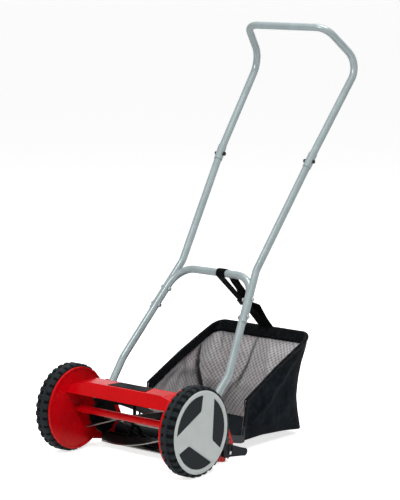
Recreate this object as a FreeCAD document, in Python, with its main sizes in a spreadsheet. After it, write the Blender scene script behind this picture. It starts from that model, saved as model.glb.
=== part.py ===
import FreeCAD, Part
import math
import os
from types import SimpleNamespace

import Sketcher
from FreeCAD import Placement, Rotation, Vector

# Reel mower with a 30 cm cutting width, two side wheels, a rear roller, a
# three-piece tube handle and a fabric grass bag.
# Frame: +Z up, the mower travels towards -Y, and the parts called "right" are
# at +X. Every place below is worked out from the point on the ground under the
# wheel axle; the last step moves the whole mower so that the origin is under
# the middle of its bounding box.

doc = FreeCAD.newDocument("ReelMower")

# ----------------------------------------------------------------------------
# Driving dimensions, in millimetres, degrees or counts
# ----------------------------------------------------------------------------
SIZES = [
    # wheels
    ("tyre_radius", 102.5), ("tyre_depth", 12.5), ("tyre_shoulder_drop", 5.5),
    ("wheel_side_gap", 1.5), ("wheel_width", 35.5), ("tread_shoulder", 7),
    ("web_recess", 6.6), ("wheel_web", 4), ("wheel_hub_radius", 16), ("wheel_hub_recess", 1),
    ("wheel_rib_count", 6), ("wheel_rib", 3), ("rib_shaft_gap", 2),
    ("cap_overlap", 4), ("cap_lip", 2.4), ("cap_fit", 0.2), ("cap_skin", 3), ("cap_wall", 2.5),
    ("cap_border", 11), ("window_count", 3), ("window_start", 84.5), ("window_end", 175.5),
    ("window_corner_angle", 88), ("window_corner_inset", 35.5), ("window_fillet", 10),
    ("window_depth", 2),
    # axle
    ("axle_radius", 6), ("axle_tube_radius", 8.5), ("axle_recess", 1),
    ("running_gap", 0.05), ("part_gap", 0.3), ("axle_ring", 1.5), ("axle_ring_radius", 9.5),
    # gears inside the wheels; the module follows from the wheel's bore
    ("gear_ring_wall", 1.9), ("ring_teeth", 84), ("pinion_teeth", 12), ("gear_recess", 1),
    ("gear_width", 11), ("gear_backlash", 0.5), ("gear_rim", 1.8),
    ("pinion_wall", 1.6), ("ratchet_step", 1.2), ("ratchet_teeth", 3), ("key_gap", 0.4),
    ("key_width", 3), ("key_length", 5),
    # cutting reel
    ("knife_height", 13.35), ("reel_tube_gap", 3.5), ("reel_half_length", 146), ("blade_count", 5),
    ("blade_depth", 22), ("blade_thickness", 2.4), ("reel_twist", 98), ("reel_phase", 33),
    ("spider_count", 4), ("spider_thickness", 3), ("spider_arm", 9), ("spider_hub", 12),
    ("spider_inset", 8), ("shaft_radius", 5.9), ("shaft_tail", 2.5),
    ("bearing_radius", 14), ("bearing_width", 8), ("bearing_recess", 2),
    ("race_wall", 2.6), ("ball_count", 8), ("shaft_hole_gap", 3), ("clip_wall", 2.5),
    ("clip_thickness", 1),
    ("housing_radius", 17), ("housing_depth", 13), ("housing_flange_radius", 25),
    ("housing_flange", 3), ("housing_screw_circle", 21), ("housing_screw_count", 3),
    # side plates
    ("reel_side_room", 19), ("plate_thickness", 3), ("plate_rim_drop", 6.5),
    ("plate_rim_width", 2.6), ("plate_rim_wall", 4),
    ("handle_lug_back", 105), ("handle_lug_rise", 38.5), ("handle_lug_radius", 11.5),
    ("roller_lug_lead", 10), ("roller_lug_height", 35), ("roller_lug_radius", 33),
    # top cover
    ("cover_sheet", 2), ("cover_lip_back", -37), ("cover_lip_rise", 44),
    ("cover_crease_back", -20.7), ("cover_top_rise", 72.5), ("cover_rear_back", 24.8),
    ("cover_fold_inset", 59), ("cover_fold_slant", 18), ("cover_front_fall", 13.5), ("cover_rear_fall", 12),
    ("cover_hem", 7), ("cover_tab", 3), ("cover_tab_edge", 7),
    ("badge_half_front", 56), ("badge_half_rear", 48), ("badge_front_back", -15),
    ("badge_rear_back", 20.8), ("badge_thickness", 1.2),
    ("screw_radius", 2), ("screw_head_radius", 4), ("screw_head", 2.4),
    # bed bar and bed knife
    ("knife_length", 32), ("knife_thickness", 3), ("knife_relief", 1.5),
    ("knife_gap", 0.35), ("bar_sheet", 3), ("bar_front_offset", 22), ("bar_width", 20),
    ("bar_rise", 12.5), ("bar_ear_width", 20), ("bar_ear_height", 40), ("bar_ear_edge", 6),
    ("bar_clamp_rise", 12),
    ("knife_screw_count", 5), ("knife_screw_edge", 26), ("knife_tail", 5),
    ("knife_side_reach", 4), ("bed_screw_radius", 2.9), ("bed_screw_head_radius", 5), ("bed_screw_head", 3.5),
    # rear roller and height brackets
    ("roller_back", 140), ("roller_radius", 22.5), ("roller_side_gap", 10), ("roller_hub_step", 1),
    ("roller_wall", 3), ("roller_axle_radius", 4), ("roller_cap_width", 8), ("roller_hub_wall", 4),
    ("bracket_gap", 0.8), ("bracket_thickness", 8), ("bracket_boss_radius", 10),
    ("bracket_height", 88), ("bracket_width", 18), ("bracket_lead", 13), ("knob_rise", 10), ("knob_reach", 3),
    ("knob_radius", 9.5), ("knob_hole", 5), ("knob_step", 2),
    ("lever_reach", 56.5), ("lever_depth", 18), ("lever_drop", 9.4),
    ("height_travel", 39), ("guide_pin_radius", 4), ("guide_pin_head_radius", 5), ("guide_pin_step", 1),
    ("guide_pin_head", 3), ("guide_pin_low", 51), ("guide_pin_pitch", 10),
    # handle tubes; the foot is placed from the lug that carries it
    ("tube_radius", 9), ("tube_wall", 1.2),
    ("foot_inset", 12.5), ("foot_lead", 4.5), ("foot_drop", 5),
    ("knee_half_span", 159.3), ("knee_back", 156), ("knee_height", 197),
    ("crossbar_half_span", 112.5), ("crossbar_back", 310), ("crossbar_height", 398.6),
    ("elbow_half_span", 109.8), ("elbow_back", 319), ("elbow_height", 413.9),
    ("joint_half_span", 137.2), ("joint_back", 506.4), ("joint_height", 669.9),
    ("grip_bend_half_span", 151.6), ("grip_bend_back", 677.1), ("grip_bend_height", 879.2),
    ("grip_half_span", 119), ("grip_back", 583.4), ("grip_height", 968.7),
    ("knee_radius", 60), ("crossbar_radius", 60), ("elbow_radius", 50),
    ("grip_bend_radius", 48), ("grip_radius", 38),
    ("lap_length", 121), ("lap_offset", 2.6), ("sleeve_length", 34), ("sleeve_wall", 1.5),
    ("sleeve_shoulder", 4),
    ("foot_bolt_start", 4), ("foot_bolt_pitch", 9), ("lap_bolt_start", 15), ("lap_bolt_pitch", 46),
    ("bolt_radius", 2.5), ("bolt_head_radius", 4.6), ("bolt_head", 3.2), ("nut_radius", 5),
    ("nut_height", 4.5),
    # grass bag
    ("bag_side_gap", 7), ("bag_taper", 5), ("bag_wall", 2.5),
    ("bag_front_back", 217), ("bag_front_low", 30), ("bag_mouth_lean", 17), ("bag_front_high", 121),
    ("bag_rear_back", 500), ("bag_rear_high", 233), ("bag_rear_low", 10), ("bag_heel_back", 461),
    ("bag_hollow_depth", 14), ("bag_hollow_rise", 84), ("bag_base_dip", 5),
    ("bag_wire_radius", 2.5), ("bag_wire_bend", 25), ("bag_hinge_back", 152), ("bag_hinge_height", 50),
    ("bag_frame_lift", 5), ("bag_frame_rise", 30),
    ("bag_pin_radius", 3), ("bag_pin_head", 2.5), ("bag_hook_width", 3), ("bag_hook_depth", 12),
    ("bag_hook_inset", 8),
    # strap from the bag to the handle
    ("strap_width", 24), ("strap_tail_width", 36), ("strap_thickness", 1.6),
    ("strap_bar_across", 20), ("buckle_across", 12), ("strap_rim_across", 3),
    ("buckle_back", 405), ("buckle_height", 314), ("buckle_depth", 20), ("buckle_thickness", 5),
    ("buckle_frame", 4),
]

sheet = doc.addObject("Spreadsheet::Sheet", "Dims")
for row, (alias, value) in enumerate(SIZES, start=1):
    sheet.set("A%d" % row, alias)
    sheet.set("B%d" % row, str(value))
    sheet.setAlias("B%d" % row, alias)
doc.recompute()


class Size:
    """A length that knows its value and the sheet expression that gives it."""

    def __init__(self, value, text):
        self.value = float(value)
        self.text = text

    @staticmethod
    def of(other):
        return other if isinstance(other, Size) else Size(other, repr(float(other)))

    def __add__(self, other):
        other = Size.of(other)
        return Size(self.value + other.value, "(%s + %s)" % (self.text, other.text))

    __radd__ = __add__

    def __neg__(self):
        return Size(-self.value, "(0 - %s)" % self.text)

    def __sub__(self, other):
        return self + (-Size.of(other))

    def __rsub__(self, other):
        return Size.of(other) + (-self)

    def __mul__(self, other):
        other = Size.of(other)
        return Size(self.value * other.value, "(%s * %s)" % (self.text, other.text))

    __rmul__ = __mul__

    def __truediv__(self, other):
        other = Size.of(other)
        return Size(self.value / other.value, "(%s / %s)" % (self.text, other.text))

    def __rtruediv__(self, other):
        return Size.of(other) / self

    def __float__(self):
        return self.value


def root(size):
    """Square root of a size."""
    return Size(math.sqrt(size.value), "sqrt(%s)" % size.text)


D = SimpleNamespace(**{alias: Size(sheet.get(alias), "Dims.%s" % alias) for alias, _ in SIZES})

# Height of a tooth above its pitch circle and depth below it, in modules
ADDENDUM, DEDENDUM, RING_ADDENDUM, RING_DEDENDUM = 0.95, 1.0, 0.6, 1.15

# Stations along X, from the reel outwards to the wheels
D.plate_inner_face = D.reel_half_length + D.reel_side_room
plate_outer_face = D.plate_inner_face + D.plate_thickness
D.wheel_inner_face = plate_outer_face + D.wheel_side_gap
D.wheel_outer_face = D.wheel_inner_face + D.wheel_width
D.tread_outer_edge = D.wheel_outer_face - D.tread_shoulder
D.wheel_web_outer = D.wheel_outer_face - D.web_recess
D.axle_end = D.wheel_outer_face - D.axle_recess
D.gear_inner_face = D.wheel_inner_face + D.gear_recess
D.shaft_end = D.gear_inner_face + D.gear_width + D.shaft_tail
D.bearing_outer_face = D.plate_inner_face - D.bearing_recess
D.plate_rim_edge = D.plate_inner_face - D.plate_rim_width
D.roller_half_length = D.plate_inner_face - D.roller_side_gap
D.bracket_inner_face = plate_outer_face + D.bracket_gap
D.cover_fold = D.plate_inner_face - D.cover_fold_inset
D.foot_half_span = D.plate_inner_face - D.foot_inset
D.bag_hook_inner_face = D.plate_inner_face - D.bag_hook_inset
D.bag_half_front = D.bag_hook_inner_face - D.bag_side_gap
D.bag_half_rear = D.bag_half_front - D.bag_taper

# Radii about the wheel axle, from the tread inwards, and the gears that fit inside
axle_height = D.tyre_radius
D.tyre_bore = D.tyre_radius - D.tyre_depth
D.tyre_shoulder = D.tyre_radius - D.tyre_shoulder_drop
D.cap_radius = D.tyre_bore + D.cap_overlap
D.window_radius = D.cap_radius - D.cap_border
D.plate_rim_radius = D.tyre_radius - D.plate_rim_drop
D.gear_module = (D.tyre_bore - D.gear_rim - D.gear_ring_wall) / (D.ring_teeth / 2 + RING_DEDENDUM)
D.ratchet_radius = D.gear_module * (D.pinion_teeth / 2 - DEDENDUM) - D.pinion_wall
D.key_half_length = D.ratchet_radius - D.ratchet_step - D.key_gap

# The reel clears the axle tube and shears on the bed knife
gear_centres = D.gear_module * (D.ring_teeth - D.pinion_teeth) / 2
D.reel_radius = gear_centres - D.axle_tube_radius - D.reel_tube_gap
knife_top = D.knife_height
knife_bottom = knife_top - D.knife_thickness
reel_height = knife_top + D.knife_gap + D.reel_radius
reel_drop = axle_height - reel_height
reel_back = root(gear_centres * gear_centres - reel_drop * reel_drop)
D.knife_edge_back = reel_back
D.bar_front_back = D.knife_edge_back + D.bar_front_offset
D.bar_rear_back = D.bar_front_back + D.bar_width

# Heights that go with the axle, and the roller at the rear
roller_height = D.roller_radius
D.handle_lug_height = axle_height + D.handle_lug_rise
D.foot_back = D.handle_lug_back - D.foot_lead
D.foot_height = D.handle_lug_height - D.foot_drop
D.cover_lip_height = axle_height + D.cover_lip_rise
D.cover_top_height = axle_height + D.cover_top_rise
D.roller_lug_back = D.roller_back - D.roller_lug_lead
guide_back = D.roller_back - D.bracket_lead

nodes = {}


# ----------------------------------------------------------------------------
# Helpers for primitives, booleans, sketches and tubes
# ----------------------------------------------------------------------------
def bind(obj, **sizes):
    """Bind each named property to a size's expression."""
    for prop, size in sizes.items():
        obj.setExpression(prop, Size.of(size).text)
    return obj


def place(obj, across, back, height, rotation=Rotation()):
    """Put a primitive at a place whose three coordinates are sizes."""
    obj.Placement = Placement(Vector(0, 0, 0), rotation)
    for axis, size in zip("xyz", (across, back, height)):
        obj.setExpression("Placement.Base.%s" % axis, Size.of(size).text)
    return obj


ALONG_X = Rotation(Vector(0, 1, 0), 90)


SIDES = ((1, "Right"), (-1, "Left"))


def faces(side, near, far):
    """Start and end along X of a piece between two distances from the middle."""
    return (near, far) if side > 0 else (-far, -near)


def rod(name, radius, start, end, back, height):
    """Round bar along X from start to end."""
    obj = bind(doc.addObject("Part::Cylinder", name), Radius=radius, Height=Size.of(end) - start)
    return place(obj, start, back, height, ALONG_X)


def post(name, radius, across, back, low, high):
    """Round bar along Z from low to high."""
    obj = bind(doc.addObject("Part::Cylinder", name), Radius=radius, Height=Size.of(high) - low)
    return place(obj, across, back, low)


def block(name, start, end, front, rear, low, high):
    """Box between two corners."""
    obj = doc.addObject("Part::Box", name)
    bind(obj, Length=Size.of(end) - start, Width=Size.of(rear) - front, Height=Size.of(high) - low)
    return place(obj, start, front, low)


def fuse(name, shapes):
    obj = doc.addObject("Part::MultiFuse", name)
    obj.Shapes = shapes
    return obj


def cut(name, base, tools):
    obj = doc.addObject("Part::Cut", name)
    obj.Base = base
    obj.Tool = tools[0] if len(tools) == 1 else fuse(name + "_tools", tools)
    return obj


def group(name, shapes):
    obj = doc.addObject("Part::Compound", name)
    obj.Links = shapes
    return obj


def feature(name, shape):
    obj = doc.addObject("Part::Feature", name)
    obj.Shape = shape
    return obj


def mirror(name, source):
    """The same piece on the other side of the mower."""
    obj = doc.addObject("Part::Mirroring", name)
    obj.Source = source
    obj.Base = (0, 0, 0)
    obj.Normal = (1, 0, 0)
    return obj


def node(label, obj):
    """Give a finished sub-part the label that names its file."""
    obj.Label = label
    nodes[label] = obj
    return obj


def both_sides(label, obj):
    """A right-hand sub-part and its mirror image on the left."""
    node(label + "_right", obj)
    node(label + "_left", mirror(label.replace("_", "") + "Left", obj))


def plane_of(body, role):
    return next(item for item in body.Origin.OriginFeatures if item.Role == role)


def outline(body, name, role, offset, points):
    """Closed polygon sketch whose every corner is bound to two sizes."""
    sketch = body.newObject("Sketcher::SketchObject", name)
    sketch.AttachmentSupport = [(plane_of(body, role), "")]
    sketch.MapMode = "FlatFace"
    sketch.setExpression("AttachmentOffset.Base.z", Size.of(offset).text)
    sizes = [(Size.of(u), Size.of(v)) for u, v in points]
    count = len(sizes)
    for i, (u, v) in enumerate(sizes):
        after = sizes[(i + 1) % count]
        corner = Vector(u.value, v.value, 0)
        sketch.addGeometry(Part.LineSegment(corner, Vector(after[0].value, after[1].value, 0)))
    for i in range(count):
        sketch.addConstraint(Sketcher.Constraint("Coincident", i, 2, (i + 1) % count, 1))
    for i, (u, v) in enumerate(sizes):
        for kind, size in (("DistanceX", u), ("DistanceY", v)):
            number = sketch.addConstraint(Sketcher.Constraint(kind, -1, 1, i, 1, size.value))
            sketch.setExpression("Constraints[%d]" % number, size.text)
    return sketch


def side_profile(name, start, end, points):
    """Body padded along X from a closed outline of (back, height) corners."""
    body = doc.addObject("PartDesign::Body", name)
    sketch = outline(body, name + "Outline", "YZ_Plane", start, points)
    pad = body.newObject("PartDesign::Pad", name + "Pad")
    pad.Profile = sketch
    pad.setExpression("Length", (Size.of(end) - start).text)
    return body


def turned(name, points, height):
    """Body turned about the wheel axis from an outline of (across, radius) corners."""
    body = doc.addObject("PartDesign::Body", name)
    sketch = outline(body, name + "Outline", "XY_Plane", 0, points)
    turn = body.newObject("PartDesign::Revolution", name + "Turn")
    turn.Profile = sketch
    turn.ReferenceAxis = (plane_of(body, "X_Axis"), [""])
    turn.Angle = 360
    body.setExpression("Placement.Base.z", height.text)
    return body


def bent_path(points, radii):
    """Straight runs joined by tangent arcs, one radius for each inner point."""
    edges = []
    last = points[0]
    for before, here, after, radius in zip(points, points[1:], points[2:], radii):
        into = (here - before).normalize()
        out = (after - here).normalize()
        turn = into.getAngle(out)
        reach = radius * math.tan(turn / 2)
        begin = here - into * reach
        end = here + out * reach
        middle = here + (out - into).normalize() * (radius / math.cos(turn / 2) - radius)
        edges.append(Part.LineSegment(last, begin).toShape())
        edges.append(Part.Arc(begin, middle, end).toShape())
        last = end
    edges.append(Part.LineSegment(last, points[-1]).toShape())
    return Part.Wire(edges)


def swept(path, radius):
    """Solid round bar along a path."""
    start = path.Edges[0]
    ring = Part.Circle(start.valueAt(start.FirstParameter), start.tangentAt(start.FirstParameter), radius)
    return path.makePipeShell([Part.Wire([ring.toShape()])], True, False)


def rod_between(start, end, radius):
    return Part.makeCylinder(radius, (end - start).Length, start, end - start)


# ----------------------------------------------------------------------------
# Wheels: tyre, wheel body, ring gear, cap, axle parts
# ----------------------------------------------------------------------------
def wheels():
    tyre = turned("Tyre", [
        (D.wheel_inner_face, D.tyre_bore),
        (D.wheel_outer_face, D.tyre_bore),
        (D.wheel_outer_face, D.tyre_shoulder),
        (D.tread_outer_edge, D.tyre_radius),
        (D.wheel_inner_face + D.cap_lip, D.tyre_radius),
        (D.wheel_inner_face, D.tyre_shoulder),
    ], axle_height)
    both_sides("tyre", tyre)

    web_inner = D.wheel_web_outer - D.wheel_web
    rim_inner = D.tyre_bore - D.gear_rim
    disc = turned("WheelDisc", [
        (D.wheel_inner_face, rim_inner),
        (web_inner, rim_inner),
        (web_inner, D.wheel_hub_radius),
        (D.wheel_inner_face + D.wheel_hub_recess, D.wheel_hub_radius),
        (D.wheel_inner_face + D.wheel_hub_recess, D.axle_radius + D.running_gap),
        (D.wheel_web_outer, D.axle_radius + D.running_gap),
        (D.wheel_web_outer, D.tyre_bore),
        (D.wheel_inner_face, D.tyre_bore),
    ], axle_height)
    rib_face = D.shaft_end + D.rib_shaft_gap
    ribs = []
    for i in range(int(D.wheel_rib_count.value)):
        rib = doc.addObject("Part::Box", "WheelRib%d" % i)
        bind(rib, Length=web_inner - rib_face,
             Width=D.wheel_rib, Height=rim_inner - D.wheel_hub_radius + 1)
        angle = 360.0 * i / D.wheel_rib_count.value
        turn = Rotation(Vector(1, 0, 0), angle)
        rib.Placement = Placement(Vector(0, 0, 0), turn)
        out = D.wheel_hub_radius - 0.5
        sine, cosine = math.sin(math.radians(angle)), math.cos(math.radians(angle))
        place(rib, rib_face,
              -1 * (D.wheel_rib / 2 * cosine) - out * sine,
              axle_height - D.wheel_rib / 2 * sine + out * cosine, turn)
        ribs.append(rib)
    pad_face = D.wheel_outer_face.value + D.cap_lip.value - D.window_depth.value
    pads = [feature("WheelPad%d" % i, pad) for i, pad in enumerate(
        window_prisms(-D.part_gap.value, web_inner.value, pad_face))]
    both_sides("wheel", fuse("WheelBody", [disc] + ribs + pads))
    both_sides("wheel_gear", feature("WheelGear", ring_gear()))
    both_sides("hub_cap", feature("HubCap", hub_cap()))

    axle = rod("AxleBar", D.axle_radius, -D.axle_end, D.axle_end, 0, axle_height)
    node("axle", group("Axle", [axle]))
    tube_half = D.plate_inner_face
    node("axle_tube", cut("AxleTube",
                          rod("AxleTubeOuter", D.axle_tube_radius, -tube_half, tube_half, 0, axle_height),
                          [rod("AxleTubeBore", D.axle_radius + D.running_gap,
                               -tube_half, tube_half, 0, axle_height)]))
    keeper = D.wheel_web_outer + D.part_gap
    spans = {"Keeper": (keeper, keeper + D.axle_ring),
             "Spacer": (plate_outer_face, D.gear_inner_face - 2 * D.running_gap)}
    rings = []
    for kind, (near, far) in spans.items():
        for side, name in SIDES:
            low, high = faces(side, near, far)
            rings.append(cut(kind + name,
                             rod(kind + "Disc" + name, D.axle_ring_radius, low, high, 0, axle_height),
                             [rod(kind + "Hole" + name, D.axle_radius, low, high, 0, axle_height)]))
    node("axle_rings", group("AxleRings", rings))


def involute_flank(teeth, tip, foot, half_angle_at_pitch, steps=5):
    """Points (radius, angle) along one involute flank from foot to tip."""
    pitch = D.gear_module.value * teeth / 2
    base = pitch * math.cos(math.radians(20))

    def spread(radius):
        if radius <= base:
            return 0.0
        pressure = math.acos(base / radius)
        return math.tan(pressure) - pressure

    points = []
    for i in range(steps + 1):
        radius = foot + (tip - foot) * i / steps
        points.append((radius, half_angle_at_pitch + spread(pitch) - spread(radius)))
    return points


def toothed_wire(teeth, flank, centre_height, centre_back, face, turn):
    """Closed wire through every tooth; flank holds (radius, half angle) pairs."""
    corners = []
    for tooth in range(teeth):
        middle = turn + 2 * math.pi * tooth / teeth
        both = [(r, middle - a) for r, a in flank] + [(r, middle + a) for r, a in reversed(flank)]
        for r, a in both:
            corners.append(Vector(face, centre_back + r * math.cos(a), centre_height + r * math.sin(a)))
    corners.append(corners[0])
    return Part.makePolygon(corners)


def mesh_angle():
    """Direction from the wheel's centre to the reel's centre."""
    return math.atan2(-reel_drop.value, reel_back.value)


def ring_gear():
    """Internal gear: a ring whose spaces are the involute teeth of its own size."""
    teeth = int(D.ring_teeth.value)
    pitch = D.gear_module.value * teeth / 2
    slack = D.gear_backlash.value / 4 / pitch
    flank = involute_flank(teeth, pitch + RING_DEDENDUM * D.gear_module.value,
                           pitch - RING_ADDENDUM * D.gear_module.value, math.pi / 2 / teeth + slack)
    face = D.gear_inner_face.value
    centre = Vector(face, 0, axle_height.value)
    outside = Part.makeCylinder(D.tyre_bore.value - D.gear_rim.value, D.gear_width.value,
                                centre, Vector(1, 0, 0))
    spaces = toothed_wire(teeth, flank, axle_height.value, 0, face, mesh_angle())
    inside = Part.Face(spaces).extrude(Vector(D.gear_width.value, 0, 0))
    return outside.cut(inside)


def window_corner_points():
    """Start, inner corner, end and middle of the arc of one cap window."""
    start, end = D.window_start.value, D.window_end.value
    outer = D.window_radius.value

    def spoke(radius, degrees):
        return Vector(0, radius * math.cos(math.radians(degrees)), radius * math.sin(math.radians(degrees)))

    corner = spoke(outer - D.window_corner_inset.value, D.window_corner_angle.value)
    return spoke(outer, start), corner, spoke(outer, end), spoke(outer, (start + end) / 2)


def window_prisms(grow, low, high):
    """Windows of the cap as solids between two depths, each with a rounded inner corner."""
    a, b, c, middle = window_corner_points()
    fillet = D.window_fillet.value
    into, out = (b - a).normalize(), (c - b).normalize()
    turn = into.getAngle(out)
    reach = fillet * math.tan(turn / 2)
    begin, end = b - into * reach, b + out * reach
    bend = b + (out - into).normalize() * (fillet / math.cos(turn / 2) - fillet)
    wire = Part.Wire([
        Part.LineSegment(a, begin).toShape(),
        Part.Arc(begin, bend, end).toShape(),
        Part.LineSegment(end, c).toShape(),
        Part.Arc(c, middle, a).toShape(),
    ])
    if grow:
        wire = wire.makeOffset2D(grow)
    solid = Part.Face(wire).extrude(Vector(high - low, 0, 0))
    solid.translate(Vector(low, 0, axle_height.value))
    turned_solids = []
    for i in range(int(D.window_count.value)):
        window = solid.copy()
        window.rotate(Vector(0, 0, axle_height.value), Vector(1, 0, 0), -360 * i / D.window_count.value)
        turned_solids.append(window)
    return turned_solids


def hub_cap():
    """Moulded wheel cap: thin skin, outer lip over the tyre, three walled windows."""
    face = D.wheel_outer_face.value + D.cap_lip.value
    back = D.wheel_web_outer.value
    centre = axle_height.value
    along = Vector(1, 0, 0)

    def disc(radius, low, high):
        return Part.makeCylinder(radius, high - low, Vector(low, 0, centre), along)

    lip = disc(D.cap_radius.value, D.wheel_outer_face.value, face)
    plug_radius = D.tyre_bore.value - D.cap_fit.value
    plug = disc(plug_radius, back, D.wheel_outer_face.value)
    hollow = disc(plug_radius - D.cap_wall.value, back, face - D.cap_skin.value)
    cap = lip.fuse(plug).cut(hollow)
    cap = cap.fuse(window_prisms(D.cap_wall.value, back, face - D.cap_skin.value / 2))
    return cap.cut(Part.makeCompound(window_prisms(0, back, face)))


# ----------------------------------------------------------------------------
# Cutting reel: shaft, spiders, helical blades, bearings, pinions, keys
# ----------------------------------------------------------------------------
def reel_angle(across):
    """Blade angle about the reel at a place along it; 0 points forwards, positive upwards."""
    return math.radians(D.reel_phase.value + D.reel_twist.value * across / (2 * D.reel_half_length.value))


def helix(radius, sideways, turn, steps=12):
    """Curve on the reel at a radius, a little to one side of a blade's middle."""
    points = []
    for i in range(steps + 1):
        across = -D.reel_half_length.value + 2 * D.reel_half_length.value * i / steps
        angle = reel_angle(across) + turn
        out = Vector(0, -math.cos(angle), math.sin(angle))
        over = Vector(0, math.sin(angle), math.cos(angle))
        place_here = Vector(across, reel_back.value, reel_height.value)
        points.append(place_here + out * radius + over * sideways)
    curve = Part.BSplineCurve()
    curve.interpolate(points)
    return curve.toShape()


def helical_blade(turn):
    """Twisted bar: four ruled sides between helices, closed by two end faces."""
    half = D.blade_thickness.value / 2
    outer, inner = D.reel_radius.value, D.reel_radius.value - D.blade_depth.value
    rails = [helix(inner, -half, turn), helix(outer, -half, turn),
             helix(outer, half, turn), helix(inner, half, turn)]
    faces = [Part.makeRuledSurface(rails[i], rails[(i + 1) % 4]) for i in range(4)]
    for end in (0, -1):
        corners = [rail.Vertexes[end].Point for rail in rails]
        faces.append(Part.Face(Part.makePolygon(corners + corners[:1])))
    shell = Part.makeShell(faces)
    solid = Part.makeSolid(shell)
    if solid.Volume < 0:
        solid.reverse()
    return solid


def spider(across, solid_disc):
    """Carrier of the blades: a plain disc at an end of the reel, a star with one arm to each blade inside."""
    thick = D.spider_thickness.value
    low = across - thick / 2
    centre = Vector(low, reel_back.value, reel_height.value)
    reach = D.reel_radius.value - D.blade_depth.value
    star = Part.makeCylinder(reach if solid_disc else D.spider_hub.value, thick, centre, Vector(1, 0, 0))
    for i in range(0 if solid_disc else int(D.blade_count.value)):
        angle = reel_angle(across) + 2 * math.pi * i / D.blade_count.value
        arm = Part.makeBox(thick, D.spider_arm.value, reach, Vector(low, -D.spider_arm.value / 2, 0))
        arm.rotate(Vector(0, 0, 0), Vector(1, 0, 0), 90 - math.degrees(angle))
        arm.translate(Vector(0, reel_back.value, reel_height.value))
        star = star.fuse(arm)
    bore = Part.makeCylinder(D.shaft_radius.value, thick, centre, Vector(1, 0, 0))
    return star.cut(bore)


def reel():
    key_far = D.gear_inner_face + D.gear_width - D.key_gap
    key_near = key_far - D.key_length
    key_front, key_rear = reel_back - D.key_width / 2, reel_back + D.key_width / 2
    key_slots, keys = [], []
    for side, name in SIDES:
        low, high = faces(side, key_near, key_far)
        for title, reach, made in (("KeySlot", D.bearing_radius, key_slots),
                                   ("Key", D.key_half_length, keys)):
            made.append(block(title + name, low, high, key_front, key_rear,
                              reel_height - reach, reel_height + reach))
    shaft = rod("ReelShaftBar", D.shaft_radius, -D.shaft_end, D.shaft_end, reel_back, reel_height)
    node("reel_shaft", cut("ReelShaft", shaft, key_slots))

    node("ratchet_keys", group("RatchetKeys", keys))

    last = int(D.spider_count.value) - 1
    span = 2 * (D.reel_half_length.value - D.spider_inset.value)
    stars = [feature("Spider%d" % i, spider(-span / 2 + span * i / last, i in (0, last)))
             for i in range(last + 1)]
    node("reel_spiders", group("ReelSpiders", stars))
    for i in range(int(D.blade_count.value)):
        turn = 2 * math.pi * i / D.blade_count.value
        node("reel_blade_%d" % (i + 1), feature("ReelBlade%d" % (i + 1), helical_blade(turn)))

    bearings()
    both_sides("pinion", feature("Pinion", pinion()))
    clips = []
    inner = D.gear_inner_face + D.gear_width + D.part_gap
    for side, name in SIDES:
        low, high = faces(side, inner, inner + D.clip_thickness)
        clips.append(cut("ShaftClip" + name,
                         rod("ShaftClipDisc" + name, D.shaft_radius + D.clip_wall, low, high,
                             reel_back, reel_height),
                         [rod("ShaftClipHole" + name, D.shaft_radius, low, high, reel_back, reel_height)]))
    node("shaft_clips", group("ShaftClips", clips))


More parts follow.
